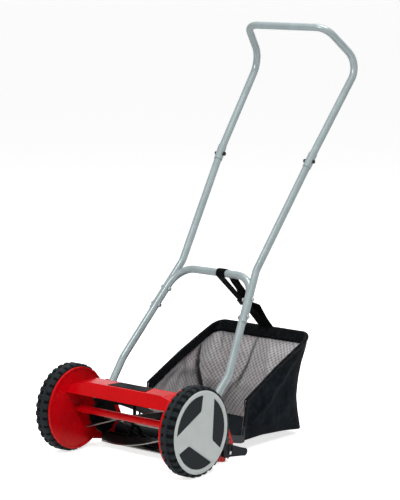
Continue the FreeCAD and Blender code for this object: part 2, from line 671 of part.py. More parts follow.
def bearings():
    """Ball bearings at both ends of the reel, in flanged housings on the side plates."""
    outer_rings, inner_rings, balls, housings, screws = [], [], [], [], []
    high = D.bearing_outer_face
    low = high - D.bearing_width
    for side, name in SIDES:
        def ring(title, outer, bore, near, far):
            start, end = faces(side, near, far)
            return cut(title + name,
                       rod(title + "Outside" + name, outer, start, end, reel_back, reel_height),
                       [rod(title + "Bore" + name, bore, start, end, reel_back, reel_height)])

        outer_rings.append(ring("OuterRace", D.bearing_radius, D.bearing_radius - D.race_wall, low, high))
        inner_rings.append(ring("InnerRace", D.shaft_radius + D.race_wall, D.shaft_radius, low, high))
        ball_circle = (D.bearing_radius - D.race_wall + D.shaft_radius + D.race_wall) / 2
        for i in range(int(D.ball_count.value)):
            angle = 2 * math.pi * i / D.ball_count.value
            ball = bind(doc.addObject("Part::Sphere", "Ball%s%d" % (name, i)),
                        Radius=(D.bearing_radius - D.shaft_radius - 2 * D.race_wall) / 2 - D.running_gap)
            place(ball, side * (low + high) / 2, reel_back + ball_circle * math.cos(angle),
                  reel_height + ball_circle * math.sin(angle))
            balls.append(ball)
        start, end = faces(side, D.plate_inner_face - D.housing_depth, D.plate_inner_face)
        flange_start, flange_end = faces(side, D.plate_inner_face - D.housing_flange, D.plate_inner_face)
        seat_start, seat_end = faces(side, low, D.plate_inner_face)
        solid = fuse("HousingSolid" + name, [
            rod("HousingCup" + name, D.housing_radius, start, end, reel_back, reel_height),
            rod("HousingFlange" + name, D.housing_flange_radius, flange_start, flange_end,
                reel_back, reel_height)])
        holes = [rod("HousingSeat" + name, D.bearing_radius, seat_start, seat_end, reel_back, reel_height),
                 rod("HousingEye" + name, D.shaft_radius + D.shaft_hole_gap, start, end,
                     reel_back, reel_height)]
        for i in range(int(D.housing_screw_count.value)):
            angle = 2 * math.pi * (i + 0.25) / D.housing_screw_count.value
            back = reel_back + D.housing_screw_circle * math.cos(angle)
            height = reel_height + D.housing_screw_circle * math.sin(angle)
            holes.append(rod("HousingHole%s%d" % (name, i), D.screw_radius + D.running_gap,
                             flange_start, flange_end, back, height))
            shank_start, shank_end = faces(side, D.plate_inner_face - D.housing_flange, plate_outer_face)
            head_start, head_end = faces(side, D.plate_inner_face - D.housing_flange - D.screw_head,
                                         D.plate_inner_face - D.housing_flange)
            screws.append(fuse("HousingScrew%s%d" % (name, i), [
                rod("HousingShank%s%d" % (name, i), D.screw_radius, shank_start, shank_end, back, height),
                rod("HousingHead%s%d" % (name, i), D.screw_head_radius - D.part_gap, head_start, head_end,
                    back, height)]))
        housings.append(cut("Housing" + name, solid, holes))
    node("bearing_outer_races", group("BearingOuterRaces", outer_rings))
    node("bearing_inner_races", group("BearingInnerRaces", inner_rings))
    node("bearing_balls", group("BearingBalls", balls))
    node("bearing_housing_right", housings[0])
    node("bearing_housing_left", housings[1])
    node("housing_screws", group("HousingScrews", screws))


def pinion():
    """Twelve-tooth pinion with a plain bearing half and a ratchet recess for the key."""
    teeth = int(D.pinion_teeth.value)
    module = D.gear_module.value
    pitch = module * teeth / 2
    slack = D.gear_backlash.value / 4 / pitch
    flank = involute_flank(teeth, pitch + ADDENDUM * module, pitch - DEDENDUM * module,
                           math.pi / 2 / teeth - slack)
    face, width = D.gear_inner_face.value, D.gear_width.value
    # a tooth of the pinion stands in the space of the ring that faces it
    wire = toothed_wire(teeth, flank, reel_height.value, reel_back.value, face, mesh_angle())
    gear = Part.Face(wire).extrude(Vector(width, 0, 0))
    centre = Vector(face, reel_back.value, reel_height.value)
    bore = Part.makeCylinder(D.shaft_radius.value + D.running_gap.value, width, centre, Vector(1, 0, 0))
    recess_start = face + width - D.key_length.value - 2 * D.key_gap.value
    corners = []
    for i in range(int(D.ratchet_teeth.value)):
        step = 2 * math.pi / D.ratchet_teeth.value
        for part in range(9):
            share = part / 8.0
            radius = D.ratchet_radius.value - D.ratchet_step.value * share
            angle = step * (i + share * 0.999)
            corners.append(Vector(recess_start, reel_back.value + radius * math.cos(angle),
                                  reel_height.value + radius * math.sin(angle)))
    corners.append(corners[0])
    recess = Part.Face(Part.makePolygon(corners)).extrude(Vector(width, 0, 0))
    return gear.cut(bore).cut(recess)


# ----------------------------------------------------------------------------
# Chassis: side plates, cover, bed bar, bed knife
# ----------------------------------------------------------------------------
def neck_corners():
    """Corners (back, height) of the web that ties the round plate to its two rear lugs."""
    disc = (0, axle_height, D.plate_rim_radius)
    roller_lug = (D.roller_lug_back, D.roller_lug_height, D.roller_lug_radius)
    handle_lug = (D.handle_lug_back, D.handle_lug_height, D.handle_lug_radius)
    places = [(disc, -60), (roller_lug, -96), (roller_lug, 26),
              (handle_lug, 26), (handle_lug, 86), (disc, 28)]
    return [(back + radius * math.cos(math.radians(turn)), height + radius * math.sin(math.radians(turn)))
            for (back, height, radius), turn in places]


def side_plates():
    inner, outer = D.plate_inner_face, plate_outer_face
    slot_half = D.roller_axle_radius + 2 * D.part_gap
    neck = side_profile("PlateNeck", inner, outer, neck_corners())
    web = fuse("PlateWeb", [
        rod("PlateDisc", D.plate_rim_radius, inner, outer, 0, axle_height),
        rod("PlateHandleLug", D.handle_lug_radius, inner, outer, D.handle_lug_back, D.handle_lug_height),
        rod("PlateRollerLug", D.roller_lug_radius, inner, outer, D.roller_lug_back, D.roller_lug_height),
        neck,
        cut("PlateRim", rod("PlateRimOutside", D.plate_rim_radius, D.plate_rim_edge, inner, 0, axle_height),
            [rod("PlateRimInside", D.plate_rim_radius - D.plate_rim_wall, D.plate_rim_edge, inner,
                 0, axle_height),
             rod("PlateRimNotch", D.housing_flange_radius + D.part_gap, D.plate_rim_edge, inner,
                 reel_back, reel_height)]),
    ])
    holes = [
        rod("PlateAxleHole", D.axle_radius + D.running_gap, inner, outer, 0, axle_height),
        rod("PlateShaftHole", D.shaft_radius + D.shaft_hole_gap, inner, outer, reel_back, reel_height),
        block("PlateAxleSlot", inner, outer, D.roller_back - slot_half, D.roller_back + slot_half,
              -D.tyre_radius, roller_height),
        rod("PlateAxleSlotTop", slot_half, inner, outer, D.roller_back, roller_height),
        rod("PlateBagPinHole", D.bag_pin_radius + D.running_gap, inner, outer,
            D.bag_hinge_back, D.bag_hinge_height),
        rod("PlateBedPivotHole", D.bed_screw_radius + D.running_gap, inner, outer,
            bed_ear_back, bed_ear_pivot_height),
        rod("PlateBedClampHole", D.bed_screw_radius + D.running_gap, inner, outer,
            bed_ear_back, bed_ear_clamp_height),
    ]
    for i in range(int(D.housing_screw_count.value)):
        angle = 2 * math.pi * (i + 0.25) / D.housing_screw_count.value
        holes.append(rod("PlateHousingHole%d" % i, D.screw_radius + D.running_gap, inner, outer,
                         reel_back + D.housing_screw_circle * math.cos(angle),
                         reel_height + D.housing_screw_circle * math.sin(angle)))
    for i in range(2):
        holes.append(rod("PlateGuideHole%d" % i, D.guide_pin_radius - D.guide_pin_step + D.running_gap,
                         inner, outer, guide_back, D.guide_pin_low + D.guide_pin_pitch * i))
        middle = foot_bolt(i)
        holes.append(rod("PlateFootHole%d" % i, D.bolt_radius + D.running_gap, inner, outer,
                         middle.y, middle.z))
    for back, height in cover_screw_places():
        holes.append(rod("PlateCoverHole%d" % len(holes), D.screw_radius + D.running_gap,
                         inner, outer, back, height))
    both_sides("side_plate", cut("SidePlate", web, holes))


def cover_screw_places():
    """Places (back, height) of the two screws at each end, under the fallen rear corners."""
    height = D.cover_top_height - D.cover_front_fall - D.cover_sheet - D.cover_tab_edge
    middle = (D.cover_crease_back + D.cover_rear_back) / 2
    return [(middle - D.cover_tab_edge, height), (D.cover_rear_back - D.cover_tab_edge, height)]


def cover_profile(across, slant, front_fall, rear_fall):
    """Bent sheet section at a place across the mower: front apron, top and turned-down rear hem.
    Slant moves its rear edge further across than its crease, and the falls lower both edges."""
    side = math.copysign(1, across)
    sheet, top = D.cover_sheet.value, D.cover_top_height.value
    lip_back, lip_height = D.cover_lip_back.value, D.cover_lip_height.value
    crease_back, rear_back = D.cover_crease_back.value, D.cover_rear_back.value
    lean = (crease_back - lip_back) / (top - lip_height)
    crease = (crease_back - front_fall * lean, top - front_fall)
    apron = math.atan2(crease[1] - lip_height, crease[0] - lip_back)
    fold = math.atan2(top - rear_fall - crease[1], rear_back - crease[0])
    corner = (crease[0] + sheet * math.tan((apron - fold) / 2), crease[1] - sheet)
    rear = (rear_back, top - rear_fall)
    points = [
        (lip_back, lip_height), crease, rear, (rear_back, rear[1] - D.cover_hem.value),
        (rear_back - sheet, rear[1] - D.cover_hem.value), (rear_back - sheet, rear[1] - sheet),
        corner, (lip_back + sheet / math.sin(apron), lip_height),
    ]
    corners = [Vector(across + side * slant * (back - crease_back) / (rear_back - crease_back), back, height)
               for back, height in points]
    return Part.makePolygon(corners + corners[:1])


def top_cover():
    """Folded cover whose flat top falls away in a slanted facet towards each side plate."""
    fold, slant = D.cover_fold.value, D.cover_fold_slant.value
    full = D.plate_inner_face.value
    falls = (D.cover_front_fall.value, D.cover_rear_fall.value)
    solid = Part.makeLoft([cover_profile(-fold, slant, 0, 0), cover_profile(fold, slant, 0, 0)], True, True)
    shapes = []
    for side in (-1, 1):
        shapes.append(Part.makeLoft([cover_profile(side * fold, slant, 0, 0),
                                     cover_profile(side * full, 0, *falls)], True, True))
        tab_low = full - D.cover_tab.value
        places = [(back.value, height.value) for back, height in cover_screw_places()]
        edge = D.cover_tab_edge.value
        front, rear = places[0][0] - edge, places[1][0] + edge - D.cover_sheet.value / 2
        bottom = places[0][1] - edge
        top = D.cover_top_height.value - falls[0] - D.cover_sheet.value / 2
        tab = Part.makeBox(D.cover_tab.value, rear - front, top - bottom,
                           Vector(tab_low if side > 0 else -full, front, bottom))
        for back, height in places:
            hole = Part.makeCylinder(D.screw_radius.value + D.running_gap.value, D.cover_tab.value,
                                     Vector(tab_low if side > 0 else -full, back, height),
                                     Vector(1, 0, 0))
            tab = tab.cut(hole)
        shapes.append(tab)
    solid = solid.fuse(shapes)
    node("top_cover", feature("TopCover", solid.removeSplitter()))

    badge = doc.addObject("PartDesign::Body", "CoverPanel")
    sketch = outline(badge, "CoverPanelOutline", "XY_Plane", D.cover_top_height, [
        (-D.badge_half_front, D.badge_front_back),
        (D.badge_half_front, D.badge_front_back),
        (D.badge_half_rear, D.badge_rear_back),
        (-D.badge_half_rear, D.badge_rear_back),
    ])
    pad = badge.newObject("PartDesign::Pad", "CoverPanelPad")
    pad.Profile = sketch
    bind(pad, Length=D.badge_thickness)
    node("cover_panel", badge)

    screws = []
    inner = D.plate_inner_face - D.cover_tab
    for side, name in SIDES:
        shank = faces(side, inner, plate_outer_face)
        head = faces(side, inner - D.screw_head, inner)
        for i, (back, height) in enumerate(cover_screw_places()):
            screws.append(fuse("CoverScrew%s%d" % (name, i), [
                rod("CoverShank%s%d" % (name, i), D.screw_radius, shank[0], shank[1], back, height),
                rod("CoverHead%s%d" % (name, i), D.screw_head_radius, head[0], head[1], back, height)]))
    node("cover_screws", group("CoverScrews", screws))


bed_ear_back = D.bar_rear_back - D.bar_ear_width / 2
bed_ear_pivot_height = knife_top + D.bar_ear_height - D.bar_ear_edge
bed_ear_clamp_height = knife_top + D.bar_clamp_rise


def bed():
    """Bed bar behind the reel's lowest point, with the fixed knife screwed under it."""
    half = D.plate_inner_face - D.part_gap
    bar = side_profile("BedBarAngle", -half, half, [
        (D.bar_front_back, knife_top),
        (D.bar_rear_back, knife_top),
        (D.bar_rear_back, knife_top + D.bar_rise),
        (D.bar_rear_back - D.bar_sheet, knife_top + D.bar_rise),
        (D.bar_rear_back - D.bar_sheet, knife_top + D.bar_sheet),
        (D.bar_front_back, knife_top + D.bar_sheet),
    ])
    ears, ear_holes, bolts = [], [], []
    near = half - D.bar_sheet
    for side, name in SIDES:
        low, high = faces(side, near, half)
        shank = faces(side, near, plate_outer_face)
        head = faces(side, near - D.bed_screw_head, near)
        ears.append(block("BedEar" + name, low, high, D.bar_rear_back - D.bar_ear_width,
                          D.bar_rear_back, knife_top, knife_top + D.bar_ear_height))
        for i, height in enumerate((bed_ear_pivot_height, bed_ear_clamp_height)):
            ear_holes.append(rod("BedEarHole%s%d" % (name, i), D.bed_screw_radius + D.running_gap,
                                 low, high, bed_ear_back, height))
            bolts.append(fuse("BedBolt%s%d" % (name, i), [
                rod("BedShank%s%d" % (name, i), D.bed_screw_radius, shank[0], shank[1],
                    bed_ear_back, height),
                rod("BedHead%s%d" % (name, i), D.bed_screw_head_radius, head[0], head[1],
                    bed_ear_back, height)]))
    screw_back = D.knife_edge_back + D.knife_length - D.knife_tail
    screw_pitch = 2 * (D.reel_half_length - D.knife_screw_edge) / (D.knife_screw_count - 1)
    screws, knife_holes = [], []
    for i in range(int(D.knife_screw_count.value)):
        across = screw_pitch * (i - (D.knife_screw_count - 1) / 2)
        ear_holes.append(post("BedBarHole%d" % i, D.screw_radius + D.running_gap, across, screw_back,
                              knife_top, knife_top + D.bar_sheet))
        knife_holes.append(post("KnifeHole%d" % i, D.screw_head_radius + D.part_gap, across, screw_back,
                                knife_bottom, knife_top))
        screws.append(fuse("KnifeScrew%d" % i, [
            post("KnifeShank%d" % i, D.screw_radius, across, screw_back, knife_bottom,
                 knife_top + D.bar_sheet),
            post("KnifeHead%d" % i, D.screw_head_radius, across, screw_back, knife_bottom,
                 knife_top - D.running_gap)]))
    node("bed_bar", cut("BedBar", fuse("BedBarSolid", [bar] + ears), ear_holes))
    node("bed_bar_bolts", group("BedBarBolts", bolts))
    knife_half = D.reel_half_length + D.knife_side_reach
    knife = side_profile("BedKnifeBlade", -knife_half, knife_half, [
        (D.knife_edge_back, knife_top),
        (D.knife_edge_back + D.knife_relief, knife_bottom),
        (D.knife_edge_back + D.knife_length, knife_bottom),
        (D.knife_edge_back + D.knife_length, knife_top),
    ])
    node("bed_knife", cut("BedKnife", knife, knife_holes))
    node("bed_knife_screws", group("BedKnifeScrews", screws))


# ----------------------------------------------------------------------------
# Rear roller on two height brackets
# ----------------------------------------------------------------------------
def roller():
    half = D.roller_half_length
    shell = cut("RollerTube",
                rod("RollerOutside", D.roller_radius, -half, half, D.roller_back, roller_height),
                [rod("RollerInside", D.roller_radius - D.roller_wall, -half, half,
                     D.roller_back, roller_height)])
    node("roller", shell)
    ends = []
    near = half - D.roller_cap_width
    for side, name in SIDES:
        low, high = faces(side, near, half)
        hub = faces(side, near, half + D.roller_hub_step)
        ends.append(cut("RollerEnd" + name, fuse("RollerEndSolid" + name, [
            rod("RollerEndDisc" + name, D.roller_radius - D.roller_wall, low, high,
                D.roller_back, roller_height),
            rod("RollerEndHub" + name, D.roller_axle_radius + D.roller_hub_wall, hub[0], hub[1],
                D.roller_back, roller_height)]),
            [rod("RollerEndBore" + name, D.roller_axle_radius + D.running_gap, hub[0], hub[1],
                 D.roller_back, roller_height)]))
    node("roller_ends", group("RollerEnds", ends))
    inner = D.bracket_inner_face
    outer = inner + D.bracket_thickness
    axle_end = outer + D.knob_step
    axle = rod("RollerAxleBar", D.roller_axle_radius, -axle_end, axle_end, D.roller_back, roller_height)
    node("roller_axle", group("RollerAxle", [axle]))

    half_width = D.bracket_width / 2
    top = roller_height + D.bracket_height
    stem = block("BracketStem", inner, outer, guide_back - half_width, guide_back + half_width,
                 roller_height, top - half_width)
    stem_top = rod("BracketStemTop", half_width, inner, outer, guide_back, top - half_width)
    foot = rod("BracketFoot", half_width, inner, outer, guide_back, roller_height)
    boss = rod("BracketBoss", D.bracket_boss_radius, inner, outer, D.roller_back, roller_height)
    knob_back, knob_height = D.roller_back + D.knob_reach, roller_height + D.knob_rise
    knob = rod("BracketKnob", D.knob_radius, inner, outer + D.knob_step, knob_back, knob_height)
    lever_back = D.roller_back + D.lever_reach
    lever_middle = roller_height - D.lever_drop
    lever_half = D.lever_depth / 2
    lever = side_profile("BracketLever", inner, outer, [
        (guide_back, roller_height - D.bracket_boss_radius + D.part_gap),
        (D.roller_back, roller_height - D.bracket_boss_radius + D.part_gap),
        (lever_back, lever_middle - lever_half + D.part_gap),
        (lever_back, lever_middle + lever_half - D.part_gap),
        (knob_back, knob_height + D.knob_radius - D.part_gap),
        (guide_back, knob_height + D.knob_radius - D.part_gap),
    ])
    lever_end = rod("BracketLeverEnd", lever_half, inner, outer, lever_back, lever_middle)
    slot_low = D.guide_pin_low
    slot_high = D.guide_pin_low + D.guide_pin_pitch + D.height_travel
    slot_half = D.guide_pin_radius + D.part_gap
    holes = [
        block("BracketSlot", inner, outer, guide_back - slot_half, guide_back + slot_half,
              slot_low, slot_high),
        rod("BracketSlotLow", slot_half, inner, outer, guide_back, slot_low),
        rod("BracketSlotHigh", slot_half, inner, outer, guide_back, slot_high),
        rod("BracketAxleHole", D.roller_axle_radius, inner, outer + D.knob_step,
            D.roller_back, roller_height),
        rod("BracketKnobHole", D.knob_hole, outer, outer + D.knob_step, knob_back, knob_height),
    ]
    both_sides("height_bracket", cut("HeightBracket", fuse("BracketSolid", [
        stem, stem_top, foot, boss, knob, lever, lever_end]), holes))
    head_face = outer + D.part_gap
    spans = [(D.plate_inner_face, plate_outer_face, D.guide_pin_radius - D.guide_pin_step),
             (plate_outer_face, head_face, D.guide_pin_radius),
             (head_face, head_face + D.guide_pin_head, D.guide_pin_head_radius)]
    pins = []
    for side, name in SIDES:
        for i in range(2):
            height = D.guide_pin_low + D.guide_pin_pitch * i
            steps = []
            for j, (near, far, radius) in enumerate(spans):
                start, end = faces(side, near, far)
                steps.append(rod("GuidePin%s%d%d" % (name, i, j), radius, start, end, guide_back, height))
            pins.append(fuse("GuidePin%s%d" % (name, i), steps))
    node("bracket_guide_pins", group("BracketGuidePins", pins))


# ----------------------------------------------------------------------------
# Handle: U-shaped push bar, two middle tubes, upper handle, bolts
# ----------------------------------------------------------------------------
def spot(name, side=1):
    """A named corner of the handle's centre line on one side."""
    half, back, height = (getattr(D, name + end).value for end in ("_half_span", "_back", "_height"))
    return Vector(side * half, back, height)


def foot_bolt(i, side=1):
    """Axis point of one of the two bolts that hold a leg's foot to its lug."""
    along = (spot("knee", side) - spot("foot", side)).normalize()
    return spot("foot", side) + along * (D.foot_bolt_start.value + D.foot_bolt_pitch.value * i)


def leg_line(side):
    """Unit direction of a leg from the knee up to the crossbar."""
    return (spot("crossbar", side) - spot("knee", side)).normalize()


def lower_path():
    left, right = -1, 1
    points = [spot("foot", left), spot("knee", left), spot("crossbar", left),
              spot("crossbar", right), spot("knee", right), spot("foot", right)]
    radii = [D.knee_radius.value, D.crossbar_radius.value, D.crossbar_radius.value, D.knee_radius.value]
    return bent_path(points, radii)


def lap_side(side):
    """Unit direction square to a leg, in which the middle tube is offset and the lap bolts point."""
    outward = Vector(side, 0, 0)
    leg = leg_line(side)
    return (outward - leg * outward.dot(leg)).normalize()


def lap_crossing(side):
    """Point of a middle tube's line beside the corner between the leg and the crossbar."""
    return spot("crossbar", side) + lap_side(side) * D.lap_offset.value


def elbow_corner(side):
    """Corner of the elbow, on the leg's own line so that the lapped tubes stay parallel."""
    crossing = lap_crossing(side)
    return crossing + leg_line(side) * (spot("elbow", side) - crossing).Length


def middle_path(side):
    """From the lap on the leg, round the elbow, to the upper joint."""
    start = lap_crossing(side) - leg_line(side) * D.lap_length.value
    return bent_path([start, elbow_corner(side), spot("joint", side)], [D.elbow_radius.value])


def upper_path():
    points = [spot("joint", -1), spot("grip_bend", -1), spot("grip", -1),
              spot("grip", 1), spot("grip_bend", 1), spot("joint", 1)]
    radii = [D.grip_bend_radius.value, D.grip_radius.value, D.grip_radius.value, D.grip_bend_radius.value]
    return bent_path(points, radii)


def lap_bolts(side):
    """Axis points of the two bolts through a leg and the tube that laps it."""
    leg = leg_line(side)
    crossing = spot("crossbar", side)
    start = D.lap_length.value - D.lap_bolt_start.value
    return [crossing - leg * (start - D.lap_bolt_pitch.value * i) for i in range(2)]


def joint_bolt(side):
    """Axis point of the bolt through the upper sleeve joint."""
    down = (elbow_corner(side) - spot("joint", side)).normalize()
    return spot("joint", side) + down * (D.sleeve_length.value / 2)


def bolt(point, along, reach_in, reach_out):
    """Cross bolt along a direction, with a head at its end and a cap nut at its start."""
    shank = rod_between(point - along * reach_in, point + along * reach_out, D.bolt_radius.value)
    head_centre = point + along * reach_out
    head = Part.makeCylinder(D.bolt_head_radius.value, D.bolt_head.value, head_centre, along)
    nut_centre = point - along * (reach_in + D.nut_height.value)
    nut = Part.makeCylinder(D.nut_radius.value, D.nut_height.value, nut_centre, along)
    return shank.fuse([head, nut])


def foot_bolt_solid(point, side, leg):
    """Bolt through a leg's foot into the lug, with a saddle spacer and a cap nut inboard."""
    along = Vector(side, 0, 0)
    radius = D.tube_radius.value
    reach = plate_outer_face.value - abs(point.x)
    shank = rod_between(point - along * (radius + D.part_gap.value), point + along * reach,
                        D.bolt_radius.value)
    face = point + along * (D.plate_inner_face.value - abs(point.x))
    spacer = rod_between(point, face, D.bolt_head_radius.value).cut(leg)
    nut_face = point - along * (radius + D.part_gap.value)
    nut = rod_between(nut_face - along * D.nut_height.value, nut_face, D.nut_radius.value)
    return shank.fuse([spacer, nut])


def handle():
    radius, wall = D.tube_radius.value, D.tube_wall.value
    bore = radius - wall
    hole_radius = D.bolt_radius.value + D.running_gap.value

    def cross_hole(point, along):
        reach = 3 * radius
        return Part.makeCylinder(hole_radius, 2 * reach, point - along * reach, along)

    lower_outside = swept(lower_path(), radius)
    lower = lower_outside.cut(swept(lower_path(), bore))
    across = Vector(1, 0, 0)
    holes = [cross_hole(point, lap_side(side)) for side in (-1, 1) for point in lap_bolts(side)]
    holes += [cross_hole(foot_bolt(i, side), across) for side in (-1, 1) for i in range(2)]
    node("lower_handle", feature("LowerHandle", lower.cut(Part.makeCompound(holes)).removeSplitter()))

    clearance = swept(lower_path(), radius + D.running_gap.value)
    for side, name in ((-1, "left"), (1, "right")):
        path = middle_path(side)
        solid = swept(path, radius)
        hollow = swept(Part.Wire([path.Edges[1], path.Edges[2]]), bore)
        tube = solid.cut(hollow).cut(clearance)
        pieces = sorted(tube.Solids, key=lambda item: item.Volume)
        tube = pieces[-1]
        tube = tube.cut(Part.makeCompound([cross_hole(point, lap_side(side)) for point in lap_bolts(side)]
                                          + [cross_hole(joint_bolt(side), across)]))
        node("middle_handle_" + name, feature("MiddleHandle_" + name, tube))

    sleeves, hollows = [], [swept(upper_path(), bore)]
    for side in (-1, 1):
        joint = spot("joint", side)
        down = (elbow_corner(side) - joint).normalize()
        low = joint + down * D.sleeve_length.value
        sleeves.append(rod_between(low, joint - down * D.sleeve_shoulder.value, radius + D.sleeve_wall.value))
        hollows.append(rod_between(low, joint, radius + D.running_gap.value))
        up = (spot("grip_bend", side) - joint).normalize()
        hollows.append(rod_between(joint - up * wall, joint + up * wall, bore))
        hollows.append(cross_hole(joint_bolt(side), across))
    upper = swept(upper_path(), radius).fuse(sleeves)
    for hollow in hollows:
        upper = upper.cut(hollow)
    node("upper_handle", feature("UpperHandle", upper))

    lap, joint, foot = [], [], []
    for side in (-1, 1):
        for point in lap_bolts(side):
            lap.append(feature("LapBolt%d" % len(lap), bolt(
                point, lap_side(side), radius + D.running_gap.value,
                radius + D.lap_offset.value + D.running_gap.value)))
        reach = radius + D.sleeve_wall.value + 2 * D.part_gap.value
        joint.append(feature("JointBolt%d" % len(joint), bolt(joint_bolt(side), across * side, reach, reach)))
        for i in range(2):
            foot.append(feature("FootBolt%d" % len(foot),
                                foot_bolt_solid(foot_bolt(i, side), side, clearance)))
    node("lap_bolts", group("LapBolts", lap))
    node("joint_bolts", group("JointBolts", joint))
    node("foot_bolts", group("FootBolts", foot))


# ----------------------------------------------------------------------------
# Grass bag on its wire frame, and the strap that holds up its rear edge
# ----------------------------------------------------------------------------
def bag_side_points(inset):
    """Side view of the bag, counter-clockwise from the front bottom, drawn in by inset."""
    front, heel = D.bag_front_back.value, D.bag_heel_back.value
    low, high = D.bag_front_low.value, D.bag_front_high.value
    rear, rear_high, rear_low = D.bag_rear_back.value, D.bag_rear_high.value, D.bag_rear_low.value
    base_rise = (low + rear_low) / 2 + D.bag_base_dip.value
    return [
        (front, low + inset), ((front + heel) / 2, base_rise + inset),
        (heel - inset, rear_low + inset),
        (heel - D.bag_hollow_depth.value - inset, rear_low + D.bag_hollow_rise.value),
        (rear - inset, rear_high), (front + D.bag_mouth_lean.value, high),
    ]


def bag_solid(inset, opened):
    """Tapered bag volume: side outline lofted between its front and rear half widths. An opened
    one runs out past the mouth, in front and above."""
    half_front = D.bag_half_front.value - inset
    half_rear = D.bag_half_rear.value - inset
    points = [list(point) for point in bag_side_points(inset)]
    if opened:
        for i in (0, 5):
            points[i][0] -= 2 * inset
        for i in (4, 5):
            points[i][1] += 2 * inset
    front = D.bag_front_back.value
    length = D.bag_rear_back.value - front

    def half_at(back):
        return half_front + (half_rear - half_front) * (back - front) / length

    sides = []
    for side in (-1, 1):
        corners = [Vector(side * half_at(back), back, height) for back, height in points]
        sides.append(corners)
    faces = []
    for corners in sides:
        faces.append(Part.Face(Part.makePolygon(corners + corners[:1])))
    count = len(points)
    for i in range(count):
        a, b = sides[0][i], sides[0][(i + 1) % count]
        c, d = sides[1][(i + 1) % count], sides[1][i]
        faces.append(Part.Face(Part.makePolygon([a, b, c, d, a])))
    solid = Part.makeSolid(Part.makeShell(faces))
    if solid.Volume < 0:
        solid.reverse()
    return solid


def rim_points(lift):
    """Centre line of the wire along the bag's upper rim, from front left to front right."""
    rear, front = bag_side_points(0)[4:]
    half_front, half_rear = D.bag_half_front.value, D.bag_half_rear.value
    return [Vector(-half_front, front[0], front[1] + lift), Vector(-half_rear, rear[0], rear[1] + lift),
            Vector(half_rear, rear[0], rear[1] + lift), Vector(half_front, front[0], front[1] + lift)]


def grass_bag():
    bag = bag_solid(0, False).cut(bag_solid(D.bag_wall.value, True))
    node("grass_bag", feature("GrassBag", bag))

    wire_radius = D.bag_wire_radius.value
    bend = D.bag_wire_bend.value
    rim = bent_path(rim_points(wire_radius + 2 * D.part_gap.value), [bend, bend])
    node("bag_rim_wire", feature("BagRimWire", swept(rim, wire_radius)))

    hinge = Vector(0, D.bag_hinge_back.value, D.bag_hinge_height.value)
    front = D.bag_front_back.value - wire_radius - D.part_gap.value
    half = D.bag_hook_inner_face.value + D.bag_hook_width.value / 2
    low = D.bag_front_low.value + D.bag_frame_lift.value
    high = low + D.bag_frame_rise.value
    path = bent_path([
        Vector(-half, front, high), Vector(-half, front, low),
        Vector(half, front, low), Vector(half, front, high)],
        [4 * wire_radius, 4 * wire_radius])
    frame = [swept(path, wire_radius)]
    for side in (-1, 1):
        inner = D.bag_hook_inner_face.value
        start = inner if side > 0 else -inner - D.bag_hook_width.value
        depth = D.bag_hook_depth.value
        near, far = front - depth, front + wire_radius / 2
        corners = [Vector(start, back, height) for back, height in [
            (hinge.y - 2 * depth / 3, hinge.z + depth / 3), (hinge.y - depth / 3, hinge.z - 2 * depth / 3),
            (near, low - depth / 2), (far, low - depth / 2), (far, low + depth), (near, low + depth),
            (hinge.y + depth / 2, hinge.z + 2 * depth / 3)]]
        strip = Part.Face(Part.makePolygon(corners + corners[:1]))
        strip = strip.extrude(Vector(D.bag_hook_width.value, 0, 0))
        eye = Part.makeCylinder(D.bag_pin_radius.value + D.running_gap.value, D.bag_hook_width.value,
                                Vector(start, hinge.y, hinge.z), Vector(1, 0, 0))
        frame.append(strip.cut(eye))
    node("bag_front_frame", feature("BagFrontFrame", frame[0].fuse(frame[1:])))

    pins = []
    head_face = D.bag_hook_inner_face - 2 * D.part_gap
    spans = [(head_face - D.bag_pin_head, head_face, 2 * D.bag_pin_radius),
             (head_face, plate_outer_face, D.bag_pin_radius)]
    for side, name in SIDES:
        steps = []
        for j, (near, far, radius) in enumerate(spans):
            start, end = faces(side, near, far)
            steps.append(rod("BagPin%s%d" % (name, j), radius, start, end,
                             D.bag_hinge_back, D.bag_hinge_height))
        pins.append(fuse("BagPin" + name, steps))
    node("bag_pins", group("BagPins", pins))


